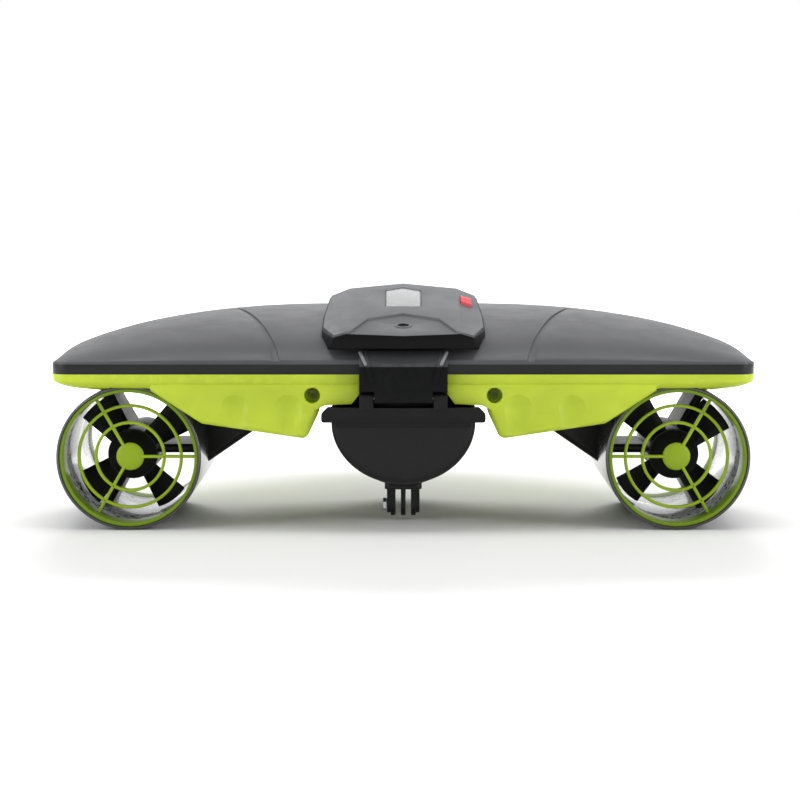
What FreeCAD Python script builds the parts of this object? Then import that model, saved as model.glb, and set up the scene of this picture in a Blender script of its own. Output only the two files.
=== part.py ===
"""Twin-duct underwater scooter, in millimetres.

The floor is z = 0 and the scooter stands on its two ducts. Inside this file y = 0 is the rear edge of the
body, where the rider holds it, and y grows towards the nose. The last step moves every piece so that the
origin lies at the bottom centre of the whole scooter.
"""
import FreeCAD
import Part
import math
import os

V = FreeCAD.Vector

# Body
SPAN = 460.0               # tip to tip
BODY_LENGTH = 250.0        # rear edge to nose
PARTING_Z = 103.0          # height of the joint between the black cover and the green shells
BAND_HEIGHT = 7.0          # upright edge of the cover
CREST_Z = 141.0            # top of the cover
CREST_Y = 140.0            # where the cover is highest
WIDEST_Y = 45.0            # from here forward the outline narrows
NOSE_HALF_WIDTH = 42.0     # blunt nose seen from above
TIP_RADIUS = 12.0          # rear corners seen from above
CROWN_POWER = 4.0          # how square the crown is across
BELLY_Z = 91.0             # flat underside of the wings
BELLY_POWER = 14.0         # how square the underside is across
BELLY_REAR_ROUND = 14.0
BELLY_NOSE_ROUND = 40.0
RIM_EDGE_Z = 99.5          # the green rim is upright above this height
WALL = 3.0                 # shell thickness
GROOVE_REAR_WIDTH = 5.0    # the grooves narrow towards the crest
GROOVE_FRONT_WIDTH = 1.2
GROOVE_DEPTH = 1.1
GROOVE_REAR_X = 83.0       # the two styling grooves spread from here
GROOVE_FRONT_X = 122.0
JOINT_GAP = 0.2            # clearance between fixed mouldings

# Grips
GRIP_INNER_X = 55.5
GRIP_OUTER_X = 165.0
GRIP_DEPTH = 30.0
GRIP_LOW_Z = 60.5          # lowest corner, next to the centre hull
GRIP_KNEE_X = 132.0
GRIP_KNEE_Z = 70.5
SCALLOPS = ((75.0, 3.0), (110.0, 2.8), (141.0, 1.1))    # place across and depth of each finger hollow
SCALLOP_RADIUS = 15.0
SCALLOP_TOP_Z = 81.0
SCALLOP_TAPER = 0.35       # share of the depth that is left at the grip's lower edge
GRIP_FACE_Y = 0.4
RIM_STEP_Z = 96.5          # the grip's face reaches up to here and the rim stands a little proud of it
GRIP_CORNER = 5.0
GRIP_EDGE_ROUND = 3.5
GRIP_SCREW_X = 59.5
GRIP_SCREW_Z = 89.2
GRIP_SCREW_RADIUS = 5.2
GRIP_SCREW_DEPTH = 15.0
GRIP_SCREW_HEAD = 2.4
GRIP_SCREW_LENGTH = 12.0

# Screws through the lower shells into the cover
COVER_SCREWS = ((75.0, 128.0), (152.0, 144.0), (96.0, 192.0))
COVER_POST_RADIUS = 4.5
SCREW_RADIUS = 1.5
SCREW_HEAD_RADIUS = 3.0
SCREW_HEAD = 2.4
SCREW_SEAT_Z = BELLY_Z + 3.0
SCREW_END_Z = 119.0

# Plate between the lower shells and the cover
PLATE_LOW_Z = 100.0
PLATE_HALF_WIDTH = 165.0
PLATE_MARGIN = 9.0
PLATE_REAR_Y = 60.0
PLATE_FRONT_Y = 206.0

# Control board on the plate
MAIN_BOARD_HALF_WIDTH = 48.0
MAIN_BOARD_REAR_Y = 125.0
MAIN_BOARD_LENGTH = 60.0
MAIN_BOARD_THICKNESS = 1.6
CHIP_ROW_Y = MAIN_BOARD_REAR_Y + 18
MAIN_BOARD_CHIPS = ((-30.0, 10.0, 14.0, 4.5), (-12.0, 10.0, 14.0, 4.5), (6.0, 10.0, 14.0, 4.5),
                    (24.0, 18.0, 23.0, 8.0))    # left edge, width, length and height
CAPACITOR_ROW_Y = MAIN_BOARD_REAR_Y + 47
CAPACITOR_PLACES = (-36.0, -22.0, 22.0, 36.0)
CAPACITOR_RADIUS = 4.0
CAPACITOR_HEIGHT = 14.0

# Triggers
TRIGGER_X = 100.0
TRIGGER_WIDTH = 44.0
TRIGGER_PIVOT_Y = 25.5
TRIGGER_PIVOT_Z = 86.0
TRIGGER_BARREL = 3.2
TRIGGER_PIN_LENGTH = 56.0
TRIGGER_LOW_Z = 69.5
TRIGGER_THICKNESS = 6.0
TRIGGER_PIN_RADIUS = 1.5
RUNNING_CLEARANCE = 0.05
MOVING_GAP = 0.6

# Ducts
DUCT_X = 180.2
DUCT_RADIUS = 47.6
DUCT_BORE_RADIUS = 43.2
DUCT_REAR_Y = 4.0
DUCT_LENGTH = 130.0
DUCT_SEAT_RADIUS = 45.9    # counterbore for the guards
DUCT_LIP_ROUND = 1.2
GUARD_DEPTH = 18.0
GUARD_RING_THICKNESS = 2.6
GUARD_BAR = 2.0
GUARD_BAR_DEPTH = 3.2
GUARD_RING_RADII = (22.5, 33.7)
GUARD_CAP_RADIUS = 9.2
GUARD_CAP_DOME = 2.6
GUARD_CAP_PROUD = 1.4
GUARD_RIM_SINK = 0.6
GUARD_FACE = 7.5           # bars lie this far inside the duct's end
SPOKE_ANGLES = (60.0, 180.0, 300.0)

# Drive
HUB_RADIUS = 16.5
PROP_REAR_Y = 26.0
HUB_LENGTH = 24.0
HUB_NOSE = 9.5
BLADE_COUNT = 4
BLADE_TIP_RADIUS = 41.3
BLADE_THICKNESS = 2.4
BLADE_ROOT_ANGLE = 46.0
BLADE_TIP_ANGLE = 27.0
BLADE_ROOT_CHORD = 20.0
BLADE_TIP_CHORD = 29.0
BLADE_TURN_LEFT = 38.0     # blade angles as the rider sees them
BLADE_TURN_RIGHT = 41.0
SHAFT_RADIUS = 3.0
POD_GAP = 1.0
MOTOR_LENGTH = 48.0
MOTOR_NOSE = 12.0
MOTOR_WALL = 2.5
STRUT_THICKNESS = 6.0
STRUT_CHORD = 50.0
STATOR_LENGTH = 24.0
ROTOR_RADIUS = 9.0
AIR_GAP = 0.3
SPINNER_TIP_RADIUS = 8.0
BEARING_WIDTH = 5.0
BEARING_RADIUS = 8.0

# Arms between the ducts and the centre hull
ARM_REAR_Y = 64.0
ARM_LENGTH = 46.0
ARM_INNER_X = 53.0
ARM_LOW_X = 138.9
ARM_LOW_Z = 33.3
ARM_EDGE_ROUND = 5.0

# Centre hull and battery
HULL_HALF_WIDTH = 47.0
HULL_LOW_Z = 24.0
HULL_REAR_LOW_Z = 31.0
HULL_STATIONS = (          # distance forward, half width, lowest height
    (4.0, HULL_HALF_WIDTH, HULL_REAR_LOW_Z),
    (22.0, HULL_HALF_WIDTH, 27.0),
    (48.0, HULL_HALF_WIDTH, HULL_LOW_Z),
    (105.0, HULL_HALF_WIDTH, HULL_LOW_Z),
    (150.0, 46.0, 26.5),
    (185.0, 38.0, 36.0),
    (205.0, 26.0, 50.0),
    (214.0, 15.0, 62.0),
)
SPINE_HALF_WIDTH = 28.6
SPINE_REAR_Y = 2.0
CHIN = 14.0                # bevel under the nose
CAP_DEPTH = 9.0
CAP_SEAT_Y = 4.0
CAP_EDGE_ROUND = 5.0
CAP_SLOT_HALF_WIDTH = 44.0
CAP_SLOT_LOW_Z = 69.0
SEAL_DEPTH = 1.8
SEAL_GAP = 0.3
FLANGE_HALF_WIDTH = 53.5
FLANGE_LOW_Z = 72.0
FLANGE_TOP_Z = 81.5
FLANGE_SLOPE = 4.0         # the shoulders fall away at both ends
FLANGE_CORNER = 1.8
FLANGE_CLEARANCE = 2.6     # room for the cap's flange between the grips
HULL_DECK_Z = 77.0         # widest height of the bowl, and the roof of the battery bay
BAY_WALL = 4.5
BATTERY_LENGTH = 140.0
PLUG_LENGTH = 6.0
SLIDE_GAP = 0.5

# Latch
LATCH_HALF_WIDTH = 28.6
LATCH_REAR_Y = -9.0
LATCH_THICKNESS = 4.5
LATCH_PIVOT_Y = -4.0
LATCH_PIVOT_Z = 88.0
LATCH_KNEE_Z = 108.5
LATCH_TIP_Y = 2.5
LATCH_TIP_Z = 118.4
LATCH_BARREL_RADIUS = 3.6
LATCH_BARREL_HALF = 19.0
LATCH_PIN_RADIUS = 1.5

# Control pod on top
POD_REAR = 9.0
POD_FRONT_Y = 115.0
POD_LIP_LOW_Z = 120.5
POD_LIP_HEIGHT = 9.5
POD_TILT = 12.4
POD_HALF_WIDTH = 54.0
POD_OUTLINE = ((0.0, 115.0), (37.0, 102.0), (51.0, 98.0), (54.0, 50.0), (54.0, 24.0), (46.0, -3.5), (0.0, -9.0))
POD_FACET_X = 37.0         # from here outwards the top slopes down
POD_FACET_DROP = 5.5       # at the pod's side
PLINTH_REAR_Y = 8.0
POD_SCREWS = ((32.5, 16.0), (31.0, 84.0))
POD_SCREW_TIP = 1.4        # the screws come from below and end this far under the top
POD_SCREW_SEAT = 8.4       # depth of the face their heads press against
POD_COVER_THICKNESS = 3.2
POD_RIM_DROP = 1.4         # the lip rises round the cover to this depth below its top
POD_COVER_INSET = 1.2
POD_CHAMFER = 1.2
CHEVRON = ((36.0, -6.0), (23.5, 27.0), (0.0, 39.0))
CHEVRON_DEPTH = 1.6
CHEVRON_HOLE_Y = 16.0
CHEVRON_HOLE_RADIUS = 3.9
WINDOW_WIDTH = 24.4
WINDOW_REAR_Y = 56.0
WINDOW_FRONT_Y = 95.0
WINDOW_POINT_Y = 103.0
WINDOW_THICKNESS = 2.0
WINDOW_LEDGE = 2.0
SLIDER_X = 43.0
SLIDER_Y = 71.0
SLIDER_WIDTH = 7.5
SLIDER_LENGTH = 14.0
SLIDER_TRAVEL = 6.0
SLIDER_PROUD = 2.0
SLIDER_FLANGE = 1.6
SLIDER_PLAY = 0.4
FLANGE_MARGIN = 1.5
BOARD_DEPTH = 6.0
BOARD_MARGIN = 3.0

# Camera foot
FOOT_Y = 46.0
FOOT_LOW_Z = 3.0
PRONG_THICKNESS = 3.2
PRONG_GAP = 3.6
PRONG_RADIUS = 7.5
PRONG_HOLE_RADIUS = 2.6
NUT_BOSS = 2.6
PRONG_BOSS_RADIUS = 5.6
NUT_ACROSS = 8.0
NUT_SEAT = 2.0
NUT_PROUD = 1.0
FOOT_PLATE_HALF_WIDTH = 12.5
FOOT_PLATE_THICKNESS = 1.5

HALF_SPAN = SPAN / 2
BAND_TOP_Z = PARTING_Z + BAND_HEIGHT
DUCT_FRONT_Y = DUCT_REAR_Y + DUCT_LENGTH
MOTOR_REAR_Y = PROP_REAR_Y + HUB_LENGTH + POD_GAP
STATOR_REAR_Y = MOTOR_REAR_Y + (MOTOR_LENGTH - STATOR_LENGTH) / 2
Y_SHIFT = -(BODY_LENGTH - POD_REAR) / 2


# Helpers

def box(x0, x1, y0, y1, z0, z1):
    """A box between two values on each axis."""
    return Part.makeBox(x1 - x0, y1 - y0, z1 - z0, V(x0, y0, z0))


def rod(radius, start, end):
    """A cylinder from one point to another."""
    way = V(*end) - V(*start)
    return Part.makeCylinder(radius, way.Length, V(*start), way)


def ring(outer, inner, start, end):
    """A tube between two points."""
    way = V(*end) - V(*start)
    reach = way.normalize()
    longer_start = tuple(V(*start) - reach)
    longer_end = tuple(V(*end) + reach)
    return rod(outer, start, end).cut(rod(inner, longer_start, longer_end))


def slab(points, plane, low, high):
    """A flat outline pushed along the axis across its plane: 'xz' along Y, 'xy' along Z, 'yz' along X."""
    place = {
        "xz": lambda a, b: V(a, low, b),
        "xy": lambda a, b: V(a, b, low),
        "yz": lambda a, b: V(low, a, b),
    }[plane]
    way = {"xz": V(0, high - low, 0), "xy": V(0, 0, high - low), "yz": V(high - low, 0, 0)}[plane]
    corners = [place(a, b) for a, b in points]
    return Part.Face(Part.makePolygon(corners + corners[:1])).extrude(way)


def fuse(shapes):
    """One solid from several."""
    whole = shapes[0]
    if len(shapes) > 1:
        whole = whole.multiFuse(shapes[1:])
    return whole.removeSplitter()


def mirrored(shape):
    """The same shape on the other side of the scooter."""
    return shape.mirror(V(0, 0, 0), V(1, 0, 0))


def rounded(shape, radius, chosen):
    """Fillets the edges that the test picks."""
    return shape.makeFillet(radius, [edge for edge in shape.Edges if chosen(edge)])


def mid(edge):
    """Middle point of an edge."""
    return edge.valueAt((edge.FirstParameter + edge.LastParameter) / 2)


def runs_along(edge, axis):
    """True for a straight edge along the axis."""
    if edge.Curve.TypeId != "Part::GeomLine":
        return False
    way = edge.Vertexes[1].Point - edge.Vertexes[0].Point
    return abs(way.normalize().dot(V(*axis))) > 0.999


# Body shape

def half_width(y):
    """Half the body's width at a distance from its rear edge."""
    if y < WIDEST_Y:
        return HALF_SPAN
    share = (y - WIDEST_Y) / (BODY_LENGTH - WIDEST_Y)
    return NOSE_HALF_WIDTH + (HALF_SPAN - NOSE_HALF_WIDTH) * (1 - share ** 1.8) ** 0.72


def crown_share(y):
    """How much of the crown's height is reached at y, from 0 to 1."""
    if y < CREST_Y:
        return (1 - (1 - y / CREST_Y) ** 2.2) ** 0.6
    return (1 - ((y - CREST_Y) / (BODY_LENGTH - CREST_Y)) ** 2.4) ** 0.7


def belly_share(y):
    """How much of the rim's depth is reached at y: the underside rounds up at the rear edge and the nose."""
    edge = min(y / BELLY_REAR_ROUND, (BODY_LENGTH - y) / BELLY_NOSE_ROUND, 1.0)
    return math.sqrt(1 - (1 - edge) ** 2)


STATION_SHARES = (0.0, 0.012, 0.04, 0.1, 0.2, 0.34, 0.5, 0.64, 0.77, 0.88, 0.955, 0.99, 1.0)
ACROSS = (1.0, 0.975, 0.92, 0.82, 0.66, 0.45, 0.2)
LEAST_RISE = 0.06
CROWN_EDGE_POWER = 0.56
BELLY_EDGE_POWER = 0.65
TRIM = 0.4                 # the loft is made this much too large and cut to the outline


def shell_loft(flat_z, edge_z, tip_z, power, edge_power, share_at):
    """A solid of the body's outline, flat at flat_z on one side and bulging to tip_z on the other."""
    wires = []
    for station in STATION_SHARES:
        y = station * BODY_LENGTH
        w = half_width(y) + TRIM
        peak = (tip_z - edge_z) * max(share_at(y), LEAST_RISE)
        half = [(w * f, edge_z + peak * (1 - f ** power) ** edge_power) for f in ACROSS]
        if station in (0.0, 1.0):
            y += (2 * station - 1) * TRIM
        points = [V(a, y, b) for a, b in half] + [V(0, y, edge_z + peak)]
        points += [V(-a, y, b) for a, b in reversed(half)]
        curve = Part.BSplineCurve()
        curve.interpolate(points)
        flat_right = V(w, y, flat_z)
        flat_left = V(-w, y, flat_z)
        wires.append(Part.Wire([
            Part.makeLine(flat_left, flat_right),
            Part.makeLine(flat_right, points[0]),
            curve.toShape(),
            Part.makeLine(points[-1], flat_left),
        ]))
    return Part.makeLoft(wires, True, False)


def outline_prism(inset, low, high):
    """The body's outline seen from above, moved inwards and pushed upwards."""
    share = [0.08, 0.2, 0.34, 0.48, 0.62, 0.74, 0.84, 0.91, 0.955, 0.98]
    points = [V(HALF_SPAN - inset, WIDEST_Y, low)]
    for part in share:
        y = WIDEST_Y + part * (BODY_LENGTH - WIDEST_Y)
        points.append(V(half_width(y) - inset, y - inset * part, low))
    points.append(V(0, BODY_LENGTH - inset, low))
    side = Part.BSplineCurve()
    side.interpolate(points, InitialTangent=V(0, 1, 0), FinalTangent=V(-1, 0, 0))
    radius = TIP_RADIUS - inset
    centre = V(HALF_SPAN - TIP_RADIUS, TIP_RADIUS, low)
    foot = centre + V(0, -radius, 0)
    turn = centre + V(radius * math.sqrt(0.5), -radius * math.sqrt(0.5), 0)
    end = centre + V(radius, 0, 0)
    right = [Part.Arc(foot, turn, end).toShape(), Part.makeLine(end, points[0]), side.toShape()]
    left = [mirrored(edge) for edge in right]
    rear = Part.makeLine(V(-foot.x, foot.y, low), foot)
    wire = Part.Wire(Part.__sortEdges__(right + left + [rear]))
    return Part.Face(wire).extrude(V(0, 0, high - low))


def crown(sink=0.0, inset=0.0, low=PARTING_Z):
    """The cover's outer form, or one sunk and moved inwards for its cavity."""
    form = shell_loft(PARTING_Z - 2, BAND_TOP_Z, CREST_Z, CROWN_POWER, CROWN_EDGE_POWER, crown_share)
    form.translate(V(0, 0, -sink))
    return form.common(outline_prism(inset, low, CREST_Z + 5))


def belly(lift=0.0, inset=0.0, high=PARTING_Z):
    """The form of the wings under the parting line, or one lifted and moved inwards for its cavity."""
    form = shell_loft(PARTING_Z + 2, RIM_EDGE_Z, BELLY_Z, BELLY_POWER, BELLY_EDGE_POWER, belly_share)
    form.translate(V(0, 0, lift))
    return form.common(outline_prism(inset, BELLY_Z - 5, high))


# Cover

def styling_groove():
    """One of the two shallow grooves that fan out over the cover, as a cutter."""
    path = [
        (GROOVE_REAR_X - GROOVE_REAR_WIDTH / 2, 0.0),
        (GROOVE_REAR_X + GROOVE_REAR_WIDTH / 2, 0.0),
        (GROOVE_FRONT_X + GROOVE_FRONT_WIDTH / 2, CREST_Y),
        (GROOVE_FRONT_X - GROOVE_FRONT_WIDTH / 2, CREST_Y),
    ]
    blade = slab(path, "xy", BAND_TOP_Z + 1.5, CREST_Z + 5)
    return blade.cut(crown(GROOVE_DEPTH))


def screw_columns(radius, low, high, sides=(1, -1)):
    """Upright rods at the cover screws."""
    return [rod(radius, (side * x, y, low), (side * x, y, high)) for x, y in COVER_SCREWS for side in sides]


def top_cover():
    """The black crowned cover, a thin shell open underneath."""
    groove = styling_groove()
    shell = crown().cut(crown(WALL, WALL, PARTING_Z - 1))
    shell = shell.cut([groove.fuse(mirrored(groove)), board_room()])
    core = crown(WALL / 2, WALL / 2)
    posts = [post.common(core) for post in screw_columns(COVER_POST_RADIUS, PARTING_Z, CREST_Z)]
    return shell.multiFuse(posts).cut(screw_columns(SCREW_RADIUS, PARTING_Z - 1, SCREW_END_Z))


# Green lower shells with the grips

def grip_bar():
    """The right-hand grip, a bar that hangs under the rear edge."""
    outline = [
        (GRIP_OUTER_X, RIM_STEP_Z),
        (GRIP_OUTER_X, BELLY_Z + 1),
        (GRIP_KNEE_X, GRIP_KNEE_Z),
        (GRIP_INNER_X + 8, GRIP_LOW_Z),
        (FLANGE_HALF_WIDTH + FLANGE_CLEARANCE, FLANGE_LOW_Z + 4),
        (FLANGE_HALF_WIDTH + FLANGE_CLEARANCE / 2, FLANGE_TOP_Z - 0.5),
        (FLANGE_HALF_WIDTH - FLANGE_CLEARANCE, FLANGE_TOP_Z + FLANGE_CLEARANCE / 2),
        (SPINE_HALF_WIDTH + 5, FLANGE_TOP_Z + 2.2),
        (SPINE_HALF_WIDTH + JOINT_GAP, BELLY_Z - 1),
        (SPINE_HALF_WIDTH + JOINT_GAP, RIM_STEP_Z),
    ]
    bar = slab(outline, "xz", GRIP_FACE_Y, GRIP_DEPTH)

    def low_corner(edge):
        return runs_along(edge, (0, 1, 0)) and mid(edge).z < FLANGE_LOW_Z

    bar = rounded(bar, GRIP_CORNER, low_corner)

    def rim(edge):
        point = mid(edge)
        return point.z < FLANGE_TOP_Z and abs(point.y - GRIP_FACE_Y) < 0.01

    return rounded(bar, GRIP_EDGE_ROUND, rim)


def scallops():
    """Cutters for the finger hollows on the grip's rear face."""
    cutters = []
    for x, depth in SCALLOPS:
        top_y = GRIP_FACE_Y + depth - SCALLOP_RADIUS
        low_y = GRIP_FACE_Y + depth * SCALLOP_TAPER - SCALLOP_RADIUS
        cutters.append(rod(SCALLOP_RADIUS, (x, low_y, GRIP_LOW_Z), (x, top_y, SCALLOP_TOP_Z)))
        cutters.append(Part.makeSphere(SCALLOP_RADIUS, V(x, top_y, SCALLOP_TOP_Z)))
    return cutters


def right_lower_shell():
    """The green right half: rim, underside and grip."""
    shell = belly().cut(belly(WALL, WALL, PARTING_Z + 1))
    half = box(SPINE_HALF_WIDTH + JOINT_GAP, SPAN, -1, BODY_LENGTH + 1, 0, PARTING_Z + 1)
    shell = shell.common(half)
    posts = screw_columns(COVER_POST_RADIUS, BELLY_Z + 1, PLATE_LOW_Z, (1,))
    shell = shell.multiFuse([grip_bar()] + posts)
    duct_seat = rod(DUCT_RADIUS, (DUCT_X, DUCT_REAR_Y - JOINT_GAP, DUCT_RADIUS),
                    (DUCT_X, DUCT_FRONT_Y + JOINT_GAP, DUCT_RADIUS))
    pocket = box(TRIGGER_X - TRIGGER_WIDTH / 2 - MOVING_GAP, TRIGGER_X + TRIGGER_WIDTH / 2 + MOVING_GAP,
                 TRIGGER_PIVOT_Y - TRIGGER_BARREL - MOVING_GAP, GRIP_DEPTH + 1,
                 GRIP_LOW_Z - 5, TRIGGER_PIVOT_Z + TRIGGER_BARREL + MOVING_GAP)
    screw_well = rod(GRIP_SCREW_RADIUS, (GRIP_SCREW_X, -1, GRIP_SCREW_Z),
                     (GRIP_SCREW_X, GRIP_SCREW_DEPTH, GRIP_SCREW_Z))
    screw_hole = rod(SCREW_RADIUS, (GRIP_SCREW_X, 0, GRIP_SCREW_Z),
                     (GRIP_SCREW_X, GRIP_SCREW_DEPTH + GRIP_SCREW_LENGTH, GRIP_SCREW_Z))
    cutters = scallops() + [duct_seat, pocket, right_trigger_pin(), screw_well, screw_hole]
    cutters += screw_columns(SCREW_HEAD_RADIUS + JOINT_GAP, BELLY_Z - 1, SCREW_SEAT_Z, (1,))
    cutters += screw_columns(SCREW_RADIUS, BELLY_Z - 1, PARTING_Z + 1, (1,))
    return shell.cut(cutters)


def cover_screws():
    """Six screws that hold the cover to the lower shells, heads in the underside."""
    screws = []
    for x, y in COVER_SCREWS:
        for side in (1, -1):
            low = SCREW_SEAT_Z - SCREW_HEAD
            head = rod(SCREW_HEAD_RADIUS, (side * x, y, low), (side * x, y, SCREW_SEAT_Z))
            shank = rod(SCREW_RADIUS, (side * x, y, low + 1), (side * x, y, SCREW_END_Z - 1))
            screws.append(fuse([head, shank]).cut(hex_socket((side * x, y, low), (0, 0, 1))))
    return Part.makeCompound(screws)


def hex_socket(point, way, size=1.6, depth=1.4):
    """Cutter for the socket in a screw head."""
    corners = [(size * math.cos(math.radians(60 * i)), size * math.sin(math.radians(60 * i))) for i in range(6)]
    if abs(way[2]) > 0.5:
        points = [V(point[0] + a, point[1] + b, point[2] - 0.5 * way[2]) for a, b in corners]
    else:
        points = [V(point[0] + a, point[1] - 0.5 * way[1], point[2] + b) for a, b in corners]
    return Part.Face(Part.makePolygon(points + points[:1])).extrude(V(*way) * (depth + 0.5))


def grip_screws():
    """One screw in the round well of each grip."""
    seat = GRIP_SCREW_DEPTH - GRIP_SCREW_HEAD
    screws = []
    for side in (1, -1):
        x = side * GRIP_SCREW_X
        head = rod(SCREW_HEAD_RADIUS, (x, seat, GRIP_SCREW_Z), (x, GRIP_SCREW_DEPTH, GRIP_SCREW_Z))
        shank = rod(SCREW_RADIUS, (x, seat + 1, GRIP_SCREW_Z),
                    (x, GRIP_SCREW_DEPTH + GRIP_SCREW_LENGTH, GRIP_SCREW_Z))
        screws.append(fuse([head, shank]).cut(hex_socket((x, seat, GRIP_SCREW_Z), (0, 1, 0))))
    return Part.makeCompound(screws)


def right_trigger():
    """A paddle on the front of the grip, hung from its pin."""
    low_x = TRIGGER_X - TRIGGER_WIDTH / 2
    high_x = TRIGGER_X + TRIGGER_WIDTH / 2
    y, z, r = TRIGGER_PIVOT_Y, TRIGGER_PIVOT_Z, TRIGGER_BARREL
    barrel = rod(r, (low_x, y, z), (high_x, y, z))
    outline = [
        (y, z + r),
        (y + 6.0, z + r - 0.8),
        (y + 9.0, z - 5.0),
        (y + 10.5, TRIGGER_LOW_Z + 1.5),
        (y + 9.0, TRIGGER_LOW_Z),
        (y + 10.5 - TRIGGER_THICKNESS, TRIGGER_LOW_Z),
        (y + 3.0, z - 5.0),
        (y, z - r),
    ]
    paddle = slab(outline, "yz", low_x, high_x)
    trigger = fuse([barrel, paddle])

    def corner(edge):
        return mid(edge).y > y + 8 and abs(mid(edge).x - TRIGGER_X) > TRIGGER_WIDTH / 2 - 0.1

    trigger = rounded(trigger, 1.2, corner)
    return trigger.cut(rod(TRIGGER_PIN_RADIUS + RUNNING_CLEARANCE, (low_x - 1, y, z), (high_x + 1, y, z)))


def right_trigger_pin():
    """Steel pin through the grip's cheeks."""
    return rod(TRIGGER_PIN_RADIUS, (TRIGGER_X - TRIGGER_PIN_LENGTH / 2, TRIGGER_PIVOT_Y, TRIGGER_PIVOT_Z),
               (TRIGGER_X + TRIGGER_PIN_LENGTH / 2, TRIGGER_PIVOT_Y, TRIGGER_PIVOT_Z))


def chassis_plate():
    """Inner plate that ties the two lower shells together over the hull's spine."""
    steps = [PLATE_REAR_Y + (PLATE_FRONT_Y - PLATE_REAR_Y) * i / 10 for i in range(11)]
    right = [(min(PLATE_HALF_WIDTH, half_width(y) - PLATE_MARGIN), y) for y in steps]
    left = [(-x, y) for x, y in reversed(right)]
    plate = slab(right + left, "xy", PLATE_LOW_Z, PARTING_Z)
    holes = screw_columns(SCREW_RADIUS, PLATE_LOW_Z - 1, PARTING_Z + 1)
    duct_room = rod(DUCT_RADIUS + 1, (DUCT_X, 0, DUCT_RADIUS), (DUCT_X, DUCT_FRONT_Y + 3, DUCT_RADIUS))
    slots = [box(side * 110 - 15, side * 110 + 15, 75, 105, PLATE_LOW_Z - 1, PARTING_Z + 1) for side in (1, -1)]
    return plate.cut(holes + slots + [duct_room, mirrored(duct_room)])


def main_board():
    """Control board with its larger components, on the inner plate."""
    board = box(-MAIN_BOARD_HALF_WIDTH, MAIN_BOARD_HALF_WIDTH, MAIN_BOARD_REAR_Y,
                MAIN_BOARD_REAR_Y + MAIN_BOARD_LENGTH, PARTING_Z, PARTING_Z + MAIN_BOARD_THICKNESS)
    parts = [board]
    for x, width, length, height in MAIN_BOARD_CHIPS:
        parts.append(box(x, x + width, CHIP_ROW_Y - length / 2, CHIP_ROW_Y + length / 2, PARTING_Z + 1,
                         PARTING_Z + height))
    for x in CAPACITOR_PLACES:
        parts.append(rod(CAPACITOR_RADIUS, (x, CAPACITOR_ROW_Y, PARTING_Z + 1),
                         (x, CAPACITOR_ROW_Y, PARTING_Z + CAPACITOR_HEIGHT)))
    return fuse(parts)


# Arms

def right_arm():
    """Black fin that carries the duct under the wing."""
    top = BELLY_Z - JOINT_GAP
    outline = [
        (ARM_INNER_X, top),
        ((ARM_INNER_X + ARM_LOW_X) / 2 + 8, (BELLY_Z + ARM_LOW_Z) / 2 - 5),
        (ARM_LOW_X, ARM_LOW_Z),
        (ARM_LOW_X + 12, ARM_LOW_Z - 2),
        (ARM_LOW_X + 12, top),
    ]
    arm = slab(outline, "xz", ARM_REAR_Y, ARM_REAR_Y + ARM_LENGTH)

    def lower(edge):
        point = mid(edge)
        on_end = abs(point.y - ARM_REAR_Y) < 0.01 or abs(point.y - ARM_REAR_Y - ARM_LENGTH) < 0.01
        return on_end and point.z < top - 1 and point.x < ARM_LOW_X + 1

    arm = rounded(arm, ARM_EDGE_ROUND, lower)
    return arm.cut(rod(DUCT_RADIUS, (DUCT_X, 0, DUCT_RADIUS), (DUCT_X, BODY_LENGTH, DUCT_RADIUS)))


# Ducts and guards, right side

def right_duct():
    """Round shroud with a stepped seat for a guard at each end."""
    rear = (DUCT_X, DUCT_REAR_Y, DUCT_RADIUS)
    front = (DUCT_X, DUCT_FRONT_Y, DUCT_RADIUS)
    body = rod(DUCT_RADIUS, rear, front)

    def outer_rim(edge):
        return edge.Curve.TypeId == "Part::GeomCircle"

    body = rounded(body, DUCT_LIP_ROUND, outer_rim)
    bore = rod(DUCT_BORE_RADIUS, (DUCT_X, DUCT_REAR_Y - 1, DUCT_RADIUS),
               (DUCT_X, DUCT_FRONT_Y + 1, DUCT_RADIUS))
    rear_seat = rod(DUCT_SEAT_RADIUS, (DUCT_X, DUCT_REAR_Y - 1, DUCT_RADIUS),
                    (DUCT_X, DUCT_REAR_Y + GUARD_DEPTH, DUCT_RADIUS))
    front_seat = rod(DUCT_SEAT_RADIUS, (DUCT_X, DUCT_FRONT_Y - GUARD_DEPTH, DUCT_RADIUS),
                     (DUCT_X, DUCT_FRONT_Y + 1, DUCT_RADIUS))
    return body.cut([bore, rear_seat, front_seat])


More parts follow.
